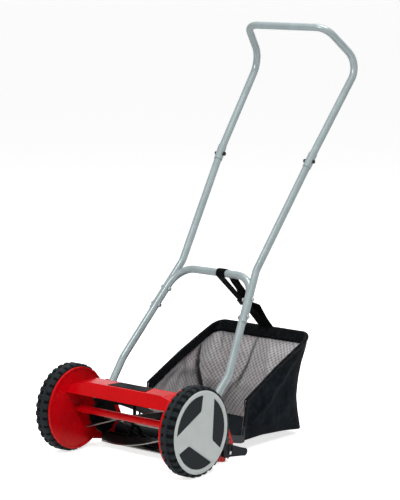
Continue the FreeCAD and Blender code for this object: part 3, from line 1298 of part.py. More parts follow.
def strap():
    """Webbing loop over the handle's crossbar, down to a buckle and on to the bag's rear rim."""
    thick = D.strap_thickness.value
    bar = spot("crossbar")
    bar.x = D.strap_bar_across.value
    buckle = Vector(D.buckle_across.value, D.buckle_back.value, D.buckle_height.value)
    rim = Vector(D.strap_rim_across.value, D.bag_rear_back.value - D.bag_wire_radius.value,
                 D.bag_rear_high.value + 3 * D.bag_wire_radius.value)
    run = Vector(0, buckle.y - bar.y, buckle.z - bar.z)
    down = run.normalize()
    over = Vector(0, -down.z, down.y)

    def strand(a, b, half, half_end, sheet):
        """Flat webbing between two points, from one half width to another."""
        along = Vector(0, b.y - a.y, b.z - a.z).normalize()
        up = Vector(0, -along.z, along.y) * sheet
        corners = [a - Vector(half, 0, 0), a + Vector(half, 0, 0),
                   b + Vector(half_end, 0, 0), b - Vector(half_end, 0, 0)]
        corners = [corner - up / 2 for corner in corners]
        return Part.Face(Part.makePolygon(corners + corners[:1])).extrude(up)

    half = D.strap_width.value / 2
    ring_inner = D.tube_radius.value + D.part_gap.value
    ring_start = bar - Vector(half, 0, 0)
    ring = Part.makeCylinder(ring_inner + thick, 2 * half, ring_start, Vector(1, 0, 0))
    hole = Part.makeCylinder(ring_inner, 2 * half, ring_start, Vector(1, 0, 0))
    reach = ring_inner + thick / 2
    along = down * (D.buckle_depth.value / 2)
    spread = over * (D.buckle_thickness.value / 2)
    inside = half - D.running_gap.value
    sheet = thick - 2 * D.running_gap.value
    upper = strand(bar + over * reach, buckle - along + spread, inside, inside, sheet)
    lower = strand(bar - over * reach, buckle - along - spread, inside, inside, sheet)
    tail = strand(buckle + along, rim, half, D.strap_tail_width.value / 2, thick)
    node("strap_loop", feature("StrapLoop", ring.fuse([upper, lower]).cut(hole).removeSplitter()))
    node("strap_tail", feature("StrapTail", tail))

    frame_half = half + D.buckle_frame.value
    height = D.buckle_thickness.value + 2 * thick
    frame = Part.makeBox(2 * frame_half, D.buckle_depth.value, height,
                         Vector(-frame_half, -D.buckle_depth.value / 2, -height / 2))
    frame.rotate(Vector(0, 0, 0), Vector(1, 0, 0), math.degrees(math.atan2(down.z, down.y)))
    frame.translate(buckle)
    node("strap_buckle", feature("StrapBuckle", frame))


wheels()
reel()
side_plates()
top_cover()
bed()
roller()
handle()
grass_bag()
strap()
doc.recompute()

# The origin is under the middle of the whole mower's box.
boxes = [item.Shape.BoundBox for item in nodes.values()]
middle_back = (min(box.YMin for box in boxes) + max(box.YMax for box in boxes)) / 2
for item in nodes.values():
    if item.TypeId != "Part::Mirroring":
        item.Placement = Placement(item.Placement.Base - Vector(0, middle_back, 0), item.Placement.Rotation)
doc.recompute()

for item in doc.Objects:
    if "Invalid" in item.State or "Error" in item.State:
        raise RuntimeError("%s failed: %s" % (item.Label, item.State))
for label, item in nodes.items():
    if item.Shape.isNull() or not item.Shape.isValid() or not item.Shape.Solids:
        raise RuntimeError("%s has no valid solid" % label)
os.makedirs("parts", exist_ok=True)
for label, item in nodes.items():
    item.Shape.exportStep("parts/%s.step" % label)
print("%d nodes, origin %.2f mm behind the axle" % (len(nodes), middle_back))
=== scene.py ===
"""Reel mower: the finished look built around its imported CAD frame."""

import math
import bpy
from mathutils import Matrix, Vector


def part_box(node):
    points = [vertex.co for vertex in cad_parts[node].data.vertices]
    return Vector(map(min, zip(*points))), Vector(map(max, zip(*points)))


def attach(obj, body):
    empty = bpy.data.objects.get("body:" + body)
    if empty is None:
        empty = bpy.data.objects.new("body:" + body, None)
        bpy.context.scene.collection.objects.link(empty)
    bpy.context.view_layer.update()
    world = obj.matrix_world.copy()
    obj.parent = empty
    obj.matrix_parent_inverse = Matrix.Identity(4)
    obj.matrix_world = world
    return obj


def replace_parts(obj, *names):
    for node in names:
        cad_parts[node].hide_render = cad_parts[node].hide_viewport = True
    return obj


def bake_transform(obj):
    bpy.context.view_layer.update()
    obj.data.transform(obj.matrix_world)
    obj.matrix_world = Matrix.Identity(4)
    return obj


bl_info = {
    "name": "Reel mower",
    "version": (1, 0, 0),
    "blender": (4, 5, 0),
    "location": "View3D > Sidebar > Mower",
    "description": "Builds a hand-pushed reel mower with its tyres, caps, cover, handle, grass bag and strap",
    "category": "Object",
}

import bmesh
import bpy
import numpy as np
from mathutils import Vector

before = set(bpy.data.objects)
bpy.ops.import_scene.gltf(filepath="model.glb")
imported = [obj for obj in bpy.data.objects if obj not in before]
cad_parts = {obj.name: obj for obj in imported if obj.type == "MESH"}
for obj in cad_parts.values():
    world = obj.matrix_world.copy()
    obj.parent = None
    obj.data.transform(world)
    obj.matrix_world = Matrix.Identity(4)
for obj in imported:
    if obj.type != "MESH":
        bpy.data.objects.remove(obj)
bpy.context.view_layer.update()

# The wheels turn about the axle; every place below is given from the point on
# the ground under it, in millimetres, and moved to the row frame by at().
AXLE_BACK = np.mean(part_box("axle"), axis=0)[1]


def at(points):
    """Millimetres from the point under the axle to metres in the row frame."""
    moved = np.asarray(points, dtype=float) / 1000.0
    moved[..., 1] += AXLE_BACK
    return moved


def box_mm(node):
    """Low and high corner of a CAD piece in the millimetres that at() takes."""
    return 1000.0 * (np.array(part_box(node)) - (0.0, AXLE_BACK, 0.0))


# ---- Sizes and colours a user may change ----
def colour_property(name, description, value):
    return bpy.props.StringProperty(name=name, description=description, default=value, maxlen=7)


def length_property(name, description, value, low, high):
    return bpy.props.FloatProperty(name=name, description=description, default=value, min=low, max=high,
                                   unit="LENGTH", subtype="DISTANCE")


class MowerColours(bpy.types.PropertyGroup):
    """Colours as sRGB hex values."""

    enamel: colour_property("Enamel", "Red enamel of the cover and side plates", "#bf0411")
    tube: colour_property("Tube", "Silver-grey powder coat of the handle", "#8e999b")
    cap: colour_property("Wheel cap", "Grey moulded wheel caps", "#aeb4b2")
    rubber: colour_property("Rubber", "Tyre rubber", "#1b2023")
    black_plastic: colour_property("Black plastic", "Wheels, roller and levers", "#1a1e21")
    cloth: colour_property("Bag cloth", "Outside of the grass bag", "#101316")
    lining: colour_property("Bag mesh", "Inside of the grass bag", "#b3b2b2")
    webbing: colour_property("Webbing", "Strap webbing", "#0b0c0d")


class MowerTread(bpy.types.PropertyGroup):
    """Tread of the tyres."""

    lugs: bpy.props.IntProperty(name="Lugs", description="Lugs round one tyre", default=32, min=8, max=60)
    depth: length_property("Depth", "Depth of the tread slots", 0.0032, 0.0005, 0.006)


class MowerBag(bpy.types.PropertyGroup):
    """Cloth of the grass bag."""

    sag: length_property("Sag", "How far the bag's cloth hangs off its flat panels", 0.006, 0.0, 0.02)
    fold: length_property("Folds", "Height of the folds in the cloth", 0.005, 0.0, 0.015)
    binding: length_property("Binding", "Width of the binding along the rim", 0.025, 0.005, 0.04)


# ---- Materials ----
# Range that most of a noise pattern's values lie in
MIDDLE = (0.3, 0.7)
# Emission of the floor that makes it white to the camera
FLOOR_GLOW = 0.73


def linear(code):
    """sRGB hex value to a linear RGBA tuple."""
    parts = [int(code[i:i + 2], 16) / 255 for i in (1, 3, 5)]
    return tuple(p / 12.92 if p <= 0.04045 else ((p + 0.055) / 1.055) ** 2.4 for p in parts) + (1.0,)


def add(tree, kind, inputs=None, out=0, **settings):
    """Adds one node with its settings and gives back one of its outputs. The inputs, by name or number,
    are plain values, hex colours or the outputs that feed them."""
    item = tree.nodes.new("ShaderNode" + kind)
    for name, value in settings.items():
        setattr(item, name, value)
    for name, value in (inputs or {}).items():
        if isinstance(value, bpy.types.NodeSocket):
            tree.links.new(value, item.inputs[name])
        else:
            item.inputs[name].default_value = linear(value) if isinstance(value, str) else value
    return item.outputs[out]


def mapped(value, span, to=(0.0, 1.0)):
    """Inputs that move a value from the range span to the range to."""
    return {"Value": value, "From Min": span[0], "From Max": span[1], "To Min": to[0], "To Max": to[1]}


def new_material(name, **values):
    """A node material and its tree, with the shader's plain values set on the shader's own sockets."""
    material = bpy.data.materials.new(name)
    material.use_nodes = True
    tree = material.node_tree
    for socket, value in values.items():
        tree.nodes["Principled BSDF"].inputs[socket.replace("_", " ")].default_value = value
    return material, tree


def finished(material, colour, roughness, relief):
    """Feeds a material's shader and gives the material back. The colour is a pattern with the two
    colours it runs between, the relief a pattern with its depth in mm and its strength. A colour or
    roughness of None is left as it is set on the shader."""
    tree = material.node_tree
    height, depth, strength = relief
    bump = add(tree, "Bump", {"Height": height, "Distance": depth / 1000.0, "Strength": strength})
    feeds = {"Roughness": roughness, "Normal": bump}
    if colour:
        feeds["Base Color"] = add(tree, "Mix", dict(zip((0, 6, 7), colour)), 2, data_type="RGBA")
    for name, source in feeds.items():
        if source is not None:
            tree.links.new(source, tree.nodes["Principled BSDF"].inputs[name])
    return material


def mottle(tree, size, detail=2.0, rough=0.5, span=(0.0, 1.0), to=(0.0, 1.0)):
    """Cloudy pattern fixed to the piece, its blotches about size mm across. What lies in the range span
    is stretched to the range to and held inside it."""
    place = add(tree, "TexCoord", out="Object")
    cloud = add(tree, "TexNoise", {"Vector": place, "Scale": 1000.0 / size, "Detail": detail,
                                   "Roughness": rough})
    return add(tree, "MapRange", mapped(cloud, span, to))


def spark_grain(tree, count):
    """Cells as the eroded face of a mould leaves them, count of them to the millimetre."""
    place = add(tree, "TexCoord", out="Object")
    return add(tree, "TexVoronoi", {"Vector": place, "Scale": 1000.0 * count})


def woven(tree, pitch):
    """Over-and-under weave from two crossed waves, pitch mm long, on the cloth's own map."""
    place = add(tree, "UVMap", out="UV", uv_map="cloth")
    turns = add(tree, "VectorMath", {0: place, "Scale": 2 * math.pi * 1000.0 / pitch}, operation="SCALE")
    axes = add(tree, "SeparateXYZ", {"Vector": turns}).node.outputs
    along, across = (add(tree, "Math", {0: axes[axis]}, operation="SINE") for axis in "XY")
    crossed = add(tree, "Math", {0: along, 1: across}, operation="MULTIPLY")
    return add(tree, "MapRange", mapped(crossed, (-1.0, 1.0)))


def seen_by(tree, *rays):
    """1 for rays of the named kinds and 0 for the light that falls on the object."""
    kinds = add(tree, "LightPath").node.outputs
    seen = kinds[rays[0]]
    for ray in rays[1:]:
        seen = add(tree, "Math", {0: seen, 1: kinds[ray]}, operation="MAXIMUM")
    return seen


def enamel(colours):
    """Stove enamel on pressed steel: deep colour, a warm tint in its gloss, a faint orange peel."""
    material, tree = new_material("stove_enamel_red", IOR=1.5, Specular_IOR_Level=0.26,
                                  Specular_Tint=linear("#ff9058"))
    return finished(material, (mottle(tree, 60, 3, 0.5, MIDDLE), "#ae030e", colours.enamel),
                    mottle(tree, 14, 4, 0.5, MIDDLE, (0.24, 0.34)), (mottle(tree, 3.5, 1), 0.02, 1.0))


def reel_paint(colours):
    """Black dip paint on the reel: semi-gloss, with dust and dull scuffs."""
    material, tree = new_material("dip_paint_black", IOR=1.5, Specular_IOR_Level=0.06)
    return finished(material, (mottle(tree, 9, 5, 0.65, (0.45, 0.75)), "#0a0909", "#181516"),
                    mottle(tree, 5, 4, 0.5, MIDDLE, (0.3, 0.5)), (mottle(tree, 1.5, 2), 0.05, 1.0))


def ground_steel(colours):
    """Ground tool steel: bright, with grinding lines about 1 mm apart that stretch the highlight."""
    material, tree = new_material("ground_steel", Metallic=1.0, Anisotropic=0.5)
    place = add(tree, "TexCoord", out="Object")
    streak = add(tree, "Mapping", {"Vector": place, "Scale": (40.0, 900.0, 900.0)})
    lines = add(tree, "TexNoise", {"Vector": streak, "Scale": 1.0, "Detail": 3.0})
    return finished(material, (lines, "#5a5855", "#9c9994"),
                    add(tree, "MapRange", mapped(lines, MIDDLE, (0.22, 0.4))), (lines, 0.03, 1.0))


def zinc(colours):
    """Zinc-plated fasteners: bright, cloudy, a little blue."""
    material, tree = new_material("zinc_plate", Metallic=1.0)
    return finished(material, (mottle(tree, 2.5, 4), "#6f7477", "#b9bec0"),
                    mottle(tree, 2.5, 4, 0.5, MIDDLE, (0.2, 0.42)), (mottle(tree, 0.8, 2), 0.03, 1.0))


def blackened(colours):
    """Blackened steel bolts and wire: dark oxide with worn bright specks."""
    material, tree = new_material("black_oxide_steel", Metallic=0.8)
    wear = (1.6, 5, 0.7, (0.62, 0.75))
    return finished(material, (mottle(tree, *wear), "#22272b", "#6d7072"), mottle(tree, *wear, (0.45, 0.3)),
                    (mottle(tree, 1.0, 2), 0.04, 1.0))


def tube_coat(colours):
    """Silver-grey powder coat on steel tube: satin, fine grain, soft broad highlight."""
    material, tree = new_material("powder_coat_silver", Metallic=0.3, IOR=1.45, Specular_IOR_Level=0.2)
    grain = (1.4, 3, 0.6)
    coat = add(tree, "Mix", {0: mottle(tree, 35, 3, 0.5, MIDDLE), 6: "#828d8f", 7: colours.tube}, 2,
               data_type="RGBA")
    return finished(material, (mottle(tree, *grain, (0.35, 0.75), (0.0, 0.25)), coat, "#b4bfc0"),
                    mottle(tree, *grain, MIDDLE, (0.26, 0.36)), (mottle(tree, *grain), 0.03, 1.0))


def cap_plastic(colours):
    """Grey moulded polypropylene: satin with a fine spark-eroded grain."""
    material, tree = new_material("moulded_pp_grey", IOR=1.49)
    grain = spark_grain(tree, 1.4)
    return finished(material, (mottle(tree, 40, 3, 0.5, MIDDLE), "#a5acaa", colours.cap),
                    add(tree, "MapRange", mapped(grain, (0.0, 0.8), (0.36, 0.48))), (grain, 0.05, 0.6))


def black_plastic(colours):
    """Black moulded polypropylene: grained, with a soft grey sheen and pale scuffs."""
    material, tree = new_material("moulded_pp_black", IOR=1.49, Specular_IOR_Level=0.06)
    grain = spark_grain(tree, 1.2)
    return finished(material, (mottle(tree, 12, 6, 0.7, (0.6, 0.8)), colours.black_plastic, "#2a2e31"),
                    add(tree, "MapRange", mapped(grain, (0.0, 0.8), (0.37, 0.5))), (grain, 0.06, 0.7))


def rubber(colours):
    """Moulded tyre rubber: matt charcoal, fine pores, greyer where it has scuffed on the lugs, and drawn
    near black in the slots as painted shade."""
    material, tree = new_material("tyre_rubber", IOR=1.5, Specular_IOR_Level=0.06)
    pores = (1.2, 4, 0.6)
    tread = add(tree, "Attribute", out="Fac", attribute_name="tread")
    worn = add(tree, "Math", {0: tread, 1: mottle(tree, 7, 5, 0.7)}, operation="MULTIPLY")
    lug = add(tree, "Mix", {0: add(tree, "MapRange", mapped(worn, MIDDLE)), 6: colours.rubber,
                            7: "#272b2e"}, 2, data_type="RGBA")
    # Painted shade: where the tread values fall towards the slots the rubber is drawn near black.
    return finished(material, (add(tree, "MapRange", mapped(tread, (0.0, 0.6))), "#050607", lug),
                    mottle(tree, *pores, MIDDLE, (0.55, 0.75)), (mottle(tree, *pores), 0.1, 0.8))


def gloss_panel(colours):
    """Bare black laminated panel: smooth, glossy, with faint handling marks."""
    material, tree = new_material("laminated_panel_black", IOR=1.5, Specular_IOR_Level=0.006,
                                  Base_Color=linear("#0a0b0d"))
    return finished(material, None, mottle(tree, 18, 5, 0.65, (0.35, 0.7), (0.12, 0.34)),
                    (mottle(tree, 6, 2), 0.03, 1.0))


def bag_mesh(colours):
    """Open polyester mesh inside the bag: pale threads round dark holes, drawn coarser than the real
    mesh so that it shows, with painted shade along its pressed creases."""
    material, tree = new_material("polyester_mesh_grey", IOR=1.45, Roughness=0.8, Sheen_Weight=0.25,
                                  Sheen_Roughness=0.5)
    weave = woven(tree, 11.5)
    fleck = add(tree, "Math", {0: weave, 1: mottle(tree, 9, 5, 0.7, MIDDLE, (0.5, 1.5))},
                operation="MULTIPLY")
    thread = add(tree, "Mix", {0: mottle(tree, 90, 2, 0.5, (0.35, 0.65)), 6: "#b7adb1",
                               7: colours.lining}, 2, data_type="RGBA")
    mesh = add(tree, "Mix", {0: add(tree, "MapRange", mapped(fleck, (0.0, 0.75))), 6: "#737172",
                             7: thread}, 2, data_type="RGBA")
    # Painted shade: the fold values darken the mesh along the pressed creases.
    crease = add(tree, "Attribute", out="Fac", attribute_name="fold")
    return finished(material, (crease, mesh, "#1c1b1d"), None, (weave, 0.4, 1.0))


def bag_cloth(colours):
    """Coated black polyester outside the bag: mottled, with a low sheen and a close weave that is
    drawn coarser than the real one so that it shows."""
    material, tree = new_material("coated_polyester_black", IOR=1.45, Specular_IOR_Level=0.02,
                                  Sheen_Weight=0.02, Sheen_Roughness=0.4)
    cloud = (20, 6, 0.75)
    weave = woven(tree, 3.2)
    coat = add(tree, "Mix", {0: mottle(tree, *cloud, (0.42, 0.66)), 6: "#020406", 7: "#232c34"}, 2,
               data_type="RGBA")
    return finished(material, (weave, coat, colours.cloth), mottle(tree, *cloud, MIDDLE, (0.55, 0.75)),
                    (weave, 0.25, 1.0))


def webbing(colours):
    """Black polypropylene webbing: woven ribs, dull with a faint sheen."""
    material, tree = new_material("pp_webbing_black", IOR=1.45, Specular_IOR_Level=0.02,
                                  Sheen_Weight=0.01, Roughness=0.7)
    weave = woven(tree, 2.4)
    return finished(material, (weave, "#050506", colours.webbing), None, (weave, 0.3, 1.0))


def binding_tape(colours):
    """Folded nylon tape round the bag's edges: slightly glossy ribs with pale lint, drawn coarser than
    the real ones so that they show."""
    material, tree = new_material("nylon_tape_black", IOR=1.5, Specular_IOR_Level=0.03,
                                  Sheen_Weight=0.02)
    weave = woven(tree, 2.8)
    ribs = add(tree, "Mix", {0: mottle(tree, 9, 6, 0.75, (0.5, 0.7)), 6: "#06080b", 7: "#2c3238"}, 2,
               data_type="RGBA")
    return finished(material, (weave, "#060708", ribs),
                    add(tree, "MapRange", mapped(weave, (0.0, 1.0), (0.62, 0.48))), (weave, 0.3, 1.0))


def floor_paint():
    """Matt white studio floor: its own faint light makes it white to the camera and in reflections."""
    material, tree = new_material("matt_white_floor", Roughness=1.0, Base_Color=(0.8, 0.8, 0.8, 1.0))
    paint = tree.nodes["Principled BSDF"].outputs[0]
    glow = add(tree, "Emission", {"Color": "#ffffff", "Strength": FLOOR_GLOW})
    seen = seen_by(tree, "Is Camera Ray", "Is Glossy Ray", "Is Transmission Ray")
    gate = add(tree, "MixShader", {0: seen, 1: paint, 2: add(tree, "AddShader", {0: glow, 1: paint})})
    tree.links.new(gate, tree.nodes["Material Output"].inputs["Surface"])
    return material


MATERIALS = {finish.__name__: finish for finish in (
    enamel, reel_paint, ground_steel, zinc, blackened, tube_coat, cap_plastic, black_plastic, rubber,
    gloss_panel, bag_mesh, bag_cloth, webbing, binding_tape)}
made = {}


def finish_of(key):
    """The material of that name, made when it is first asked for."""
    if key not in made:
        made[key] = MATERIALS[key](bpy.context.scene.mower_colours)
    return made[key]


# ---- Meshes ----
def unit(vectors):
    """Vectors brought to length 1."""
    return vectors / np.linalg.norm(vectors, axis=-1, keepdims=True)


def run_of(path):
    """Length along a path at each of its points."""
    return np.concatenate([[0], np.cumsum(np.linalg.norm(np.diff(path, axis=0), axis=1))])


def smooth_step(value, width):
    """0 below -width, 1 above +width, and a smooth rise between."""
    t = np.clip(value / (2 * width) + 0.5, 0, 1)
    return t * t * (3 - 2 * t)


def grid_faces(rows, columns, wrap_rows=False, wrap_columns=False):
    """Quads of a grid of points, row by row, joined end to end where it wraps."""
    row = np.arange(rows if wrap_rows else rows - 1)
    column = np.arange(columns if wrap_columns else columns - 1)
    r, c = np.meshgrid(row, column, indexing="ij")
    r2, c2 = (r + 1) % rows, (c + 1) % columns
    return np.stack([r * columns + c, r * columns + c2, r2 * columns + c2, r2 * columns + c],
                    axis=-1).reshape(-1, 4)


def new_piece(name, points, faces, material, body, uv=None, ends=()):
    """Mesh object at the origin from points in mm and the quads between them. Ends are rings of point
    numbers that close it, and uv is each point's place on the cloth. Without a body it is left on its own."""
    mesh = bpy.data.meshes.new(name)
    places = at(points).reshape(-1, 3)
    sizes = np.array([4] * len(faces) + [len(end) for end in ends])
    corners = np.concatenate([faces.ravel(), *ends])
    mesh.vertices.add(len(places))
    mesh.vertices.foreach_set("co", places.astype(np.float32).ravel())
    mesh.loops.add(len(corners))
    mesh.loops.foreach_set("vertex_index", corners.astype(np.int32))
    mesh.polygons.add(len(sizes))
    mesh.polygons.foreach_set("loop_start", (np.cumsum(sizes) - sizes).astype(np.int32))
    mesh.polygons.foreach_set("use_smooth", np.ones(len(sizes), dtype=bool))
    if uv is not None:
        layer = mesh.uv_layers.new(name="cloth")
        layer.data.foreach_set("uv", uv.reshape(-1, 2).astype(np.float32)[corners].ravel())
    mesh.update(calc_edges=True)
    mesh.validate()
    mesh.materials.append(finish_of(material))
    obj = bpy.data.objects.new(name, mesh)
    bpy.context.scene.collection.objects.link(obj)
    if body:
        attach(obj, body)
    return obj


def keep_values(obj, name, values):
    """Stores a value for each point, which the piece's material reads."""
    layer = obj.data.attributes.new(name, "FLOAT", "POINT")
    layer.data.foreach_set("value", values.astype(np.float32).ravel())


def outward(obj):
    """Merges seams and turns every face of a closed piece outwards."""
    work = bmesh.new()
    work.from_mesh(obj.data)
    bmesh.ops.remove_doubles(work, verts=work.verts, dist=1e-6)
    bmesh.ops.recalc_face_normals(work, faces=work.faces)
    work.to_mesh(obj.data)
    work.free()


def swept(name, rings, material, body, uv=None):
    """Closed piece from a section's rings of points, in mm, one after the other along a path."""
    rows, columns = rings.shape[:2]
    ring = np.arange(columns)
    obj = new_piece(name, rings, grid_faces(rows, columns, wrap_columns=True), material, body, uv,
                    (ring, ring + (rows - 1) * columns))
    outward(obj)
    return obj


def shade_by_angle(obj, angle=30.0):
    """Smooth shading from the faces themselves that keeps edges sharper than the angle."""
    mesh = obj.data
    stored = mesh.attributes.get("custom_normal")
    if stored:
        mesh.attributes.remove(stored)
    mesh.polygons.foreach_set("use_smooth", np.ones(len(mesh.polygons), dtype=bool))
    mesh.set_sharp_from_angle(angle=math.radians(angle))


def dressed(node, material, body, edge, segments=2):
    """Copy of a CAD piece that stands for it, with its flat faces joined and its edges rounded by a
    bevel edge mm wide."""
    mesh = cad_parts[node].data.copy()
    mesh.materials.clear()
    mesh.materials.append(finish_of(material))
    work = bmesh.new()
    work.from_mesh(mesh)
    bmesh.ops.remove_doubles(work, verts=work.verts, dist=2e-6)
    bmesh.ops.dissolve_limit(work, angle_limit=math.radians(1.0), verts=work.verts, edges=work.edges)
    work.to_mesh(mesh)
    work.free()
    obj = bpy.data.objects.new(node + "_finished", mesh)
    bpy.context.scene.collection.objects.link(obj)
    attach(obj, body)
    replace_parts(obj, node)
    bevel = obj.modifiers.new("Edges", "BEVEL")
    bevel.width = edge / 1000.0
    bevel.segments = segments
    bevel.limit_method = "ANGLE"
    bevel.angle_limit = math.radians(35.0)
    bevel.harden_normals = False
    shade_by_angle(obj)
    return obj


def paint_nodes(material, *nodes):
    """Gives CAD pieces whose shape is right their finish."""
    for node in nodes:
        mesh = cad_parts[node].data
        mesh.materials.clear()
        mesh.materials.append(finish_of(material))


# ---- Wheels ----
AXLE_UP = box_mm("axle")[:, 2].mean()
TYRE_INSIDE, TYRE_OUTSIDE = box_mm("tyre_right")[:, 0]
TYRE_RADIUS = box_mm("tyre_right")[1, 2] - AXLE_UP
RIM_RADIUS = box_mm("wheel_right")[1, 2] - AXLE_UP + 0.1
TYRE_WIDTH = TYRE_OUTSIDE - TYRE_INSIDE
# Steps outward from the tyre's inner side, and how far its crown lies below the tyre's radius there
CROWN = np.array([(0, 4.2), (1.7, 1.2), (4.5, 0.1), (TYRE_WIDTH - 6.0, 0.1), (TYRE_WIDTH - 2.0, 1.9),
                  (TYRE_WIDTH, 5.1)])
# Steps outward to the end of the inner slots, the start of the outer ones and the dimples' middle
INNER_SLOT, OUTER_SLOT, DIMPLE = 11.0, 19.0, 23.5
STEPS_PER_LUG = 16


def tyre_surface(side, lugs, depth):
    """Ring of rubber about the axle. For a step x across the tread and an angle a, the radius is the
    tyre's crown, less the tread depth inside two rows of slots that repeat lugs times round it: one
    row open to each shoulder, with a plain rib between them and a dimple on each outer lug. The two
    sides close it to the rim."""
    count = lugs * STEPS_PER_LUG
    step = np.concatenate([[0, 0], np.linspace(0.5, TYRE_WIDTH - 1.0, 35), [TYRE_WIDTH, TYRE_WIDTH]])
    a, x = np.meshgrid(2 * np.pi * np.arange(count) / count, step, indexing="ij")
    phase = (a * lugs / (2 * np.pi)) % 1.0
    from_slot, from_lug = np.abs(phase - 0.5), np.abs((phase + 0.5) % 1.0 - 0.5)
    inner = smooth_step(0.17 - from_slot, 0.05) * smooth_step(INNER_SLOT - x, 1.2)
    outer = smooth_step(0.24 - from_slot, 0.06) * smooth_step(x - OUTER_SLOT, 1.2)
    dimple = smooth_step(0.1 - from_lug, 0.05) * smooth_step(3.2 - np.abs(x - DIMPLE), 1.0)
    cut = np.clip(np.maximum(inner, outer) + 0.6 * dimple, 0, 1)
    radius = TYRE_RADIUS - np.interp(x, CROWN[:, 0], CROWN[:, 1]) - depth * cut
    radius[:, [0, -1]] = RIM_RADIUS
    points = np.stack([side * (TYRE_INSIDE + x), -radius * np.cos(a), AXLE_UP + radius * np.sin(a)],
                      axis=-1)
    return points, 1.0 - cut


def slope_edges(obj, side, width, falls):
    """Rounds the outer face of a wheel cap down to all its edges: each step insets the face by the
    width, and the edges that it had, round the cap and round its windows, sink by the step's fall
    and by those of the steps inside it. All are in mm."""
    work = bmesh.new()
    work.from_mesh(obj.data)
    outermost = max(side * vert.co.x for vert in work.verts)
    flat = [face for face in work.faces if side * face.normal.x > 0.999
            and outermost - side * face.calc_center_median().x < 1e-4]
    sunk = set()
    for fall in falls:
        band = bmesh.ops.inset_region(work, faces=flat, thickness=width / 1000.0, use_even_offset=True,
                                      use_boundary=True)["faces"]
        inside = {vert for face in flat for vert in face.verts}
        sunk |= {vert for face in band for vert in face.verts} - inside
        for vert in sunk:
            vert.co.x -= side * fall / 1000.0
    work.to_mesh(obj.data)
    work.free()
    shade_by_angle(obj, 8.0)


class MOWER_OT_wheels(bpy.types.Operator):
    """Builds the treaded tyres, the grained caps and the moulded wheels"""

    bl_idname = "mower.wheels"
    bl_label = "Wheels"

    def execute(self, context):
        for side, hand in ((1, "right"), (-1, "left")):
            body = "wheel_" + hand
            self.tyre(context.scene.mower_tread, side, hand, body)
            cap = dressed("hub_cap_" + hand, "cap_plastic", body, 0.4)
            slope_edges(cap, side, 2.5, (1.4, 0.6))
            dressed("wheel_" + hand, "black_plastic", body, 0.5)
            paint_nodes("black_plastic", "wheel_gear_" + hand)
        paint_nodes("zinc", "axle", "axle_rings")
        return {"FINISHED"}

    def tyre(self, tread, side, hand, body):
        points, worn = tyre_surface(side, tread.lugs, 1000 * tread.depth)
        faces = grid_faces(*worn.shape, wrap_rows=True, wrap_columns=True)
        obj = new_piece("treaded_tyre_" + hand, points, faces, "rubber", body)
        # Tread values: 1 on the lugs and 0 in the slots, for the scuffs on the lugs and the painted shade in
        # the slots.
        keep_values(obj, "tread", worn)
        outward(obj)
        shade_by_angle(obj, 38.0)
        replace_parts(obj, "tyre_" + hand)


# ---- Frame: side plates, cover, bed bar ----
class MOWER_OT_frame(bpy.types.Operator):
    """Finishes the side plates, cover, axle tube, bed bar and their fasteners"""

    bl_idname = "mower.frame"
    bl_label = "Frame"

    def execute(self, context):
        for hand in ("right", "left"):
            dressed("side_plate_" + hand, "enamel", "chassis", 0.9, 3)
            dressed("bearing_housing_" + hand, "black_plastic", "chassis", 0.8)
        dressed("top_cover", "enamel", "chassis", 0.8, 3)
        dressed("cover_panel", "gloss_panel", "chassis", 0.4)
        # The bed bar is red on the real mower; it is given the reel's black paint as painted shade, for the
        # shade it lies in under the reel.
        dressed("bed_bar", "reel_paint", "chassis", 0.6)
        dressed("bed_knife", "ground_steel", "chassis", 0.3, 1)
        paint_nodes("enamel", "axle_tube")
        paint_nodes("zinc", "cover_screws", "bed_bar_bolts", "bed_knife_screws", "housing_screws")
        paint_nodes("ground_steel", "bearing_outer_races", "bearing_balls")
        return {"FINISHED"}


# ---- Cutting reel ----
BLADES = 5
BLADE_LENGTH = np.ptp(box_mm("reel_blade_1")[:, 0])
# Angle of the first blade at the reel's middle, and its turn from end to end, in degrees
BLADE_START, BLADE_TWIST = 33.0, 98.0
# Section of the ground strip: distance from the reel's axis, and step towards the leading face
EDGE_SECTION = np.array([(56.5, 1.26), (60.03, 1.26), (60.03, -1.26), (59.2, -1.26), (59.2, 0.9),
                         (56.5, 1.16)])


class MOWER_OT_reel(bpy.types.Operator):
    """Finishes the reel: black blades and spiders, bright edges and shaft, plastic pinions"""

    bl_idname = "mower.reel"
    bl_label = "Cutting reel"

    def execute(self, context):
        for number in range(BLADES):
            paint_nodes("reel_paint", "reel_blade_%d" % (number + 1))
            self.edge(number)
        paint_nodes("reel_paint", "reel_spiders")
        paint_nodes("ground_steel", "reel_shaft", "bearing_inner_races", "ratchet_keys", "shaft_clips")
        paint_nodes("black_plastic", "pinion_right", "pinion_left")
        return {"FINISHED"}

    def edge(self, number):
        """Ground strip on a blade's tip. At a place x the blade stands at its angle at the middle plus
        its twist times x over the blade's length; the strip spans the blade's thickness at the tip and
        a little of its leading face."""
        x = np.linspace(-0.5, 0.5, 120) * (BLADE_LENGTH - 0.2)
        angle = np.radians(BLADE_START + BLADE_TWIST * x / BLADE_LENGTH + 360 / BLADES * number)
        nothing = np.zeros_like(x)
        out = np.stack([nothing, -np.cos(angle), np.sin(angle)], axis=-1)
        over = np.stack([nothing, np.sin(angle), np.cos(angle)], axis=-1)
        back, up = box_mm("reel_shaft").mean(axis=0)[1:]
        axis = np.stack([x, nothing + back, nothing + up], axis=-1)
        rings = axis[:, None] + out[:, None] * EDGE_SECTION[:, :1] + over[:, None] * EDGE_SECTION[:, 1:]
        obj = swept("ground_edge_%d" % (number + 1), rings, "ground_steel", "reel")
        shade_by_angle(obj)


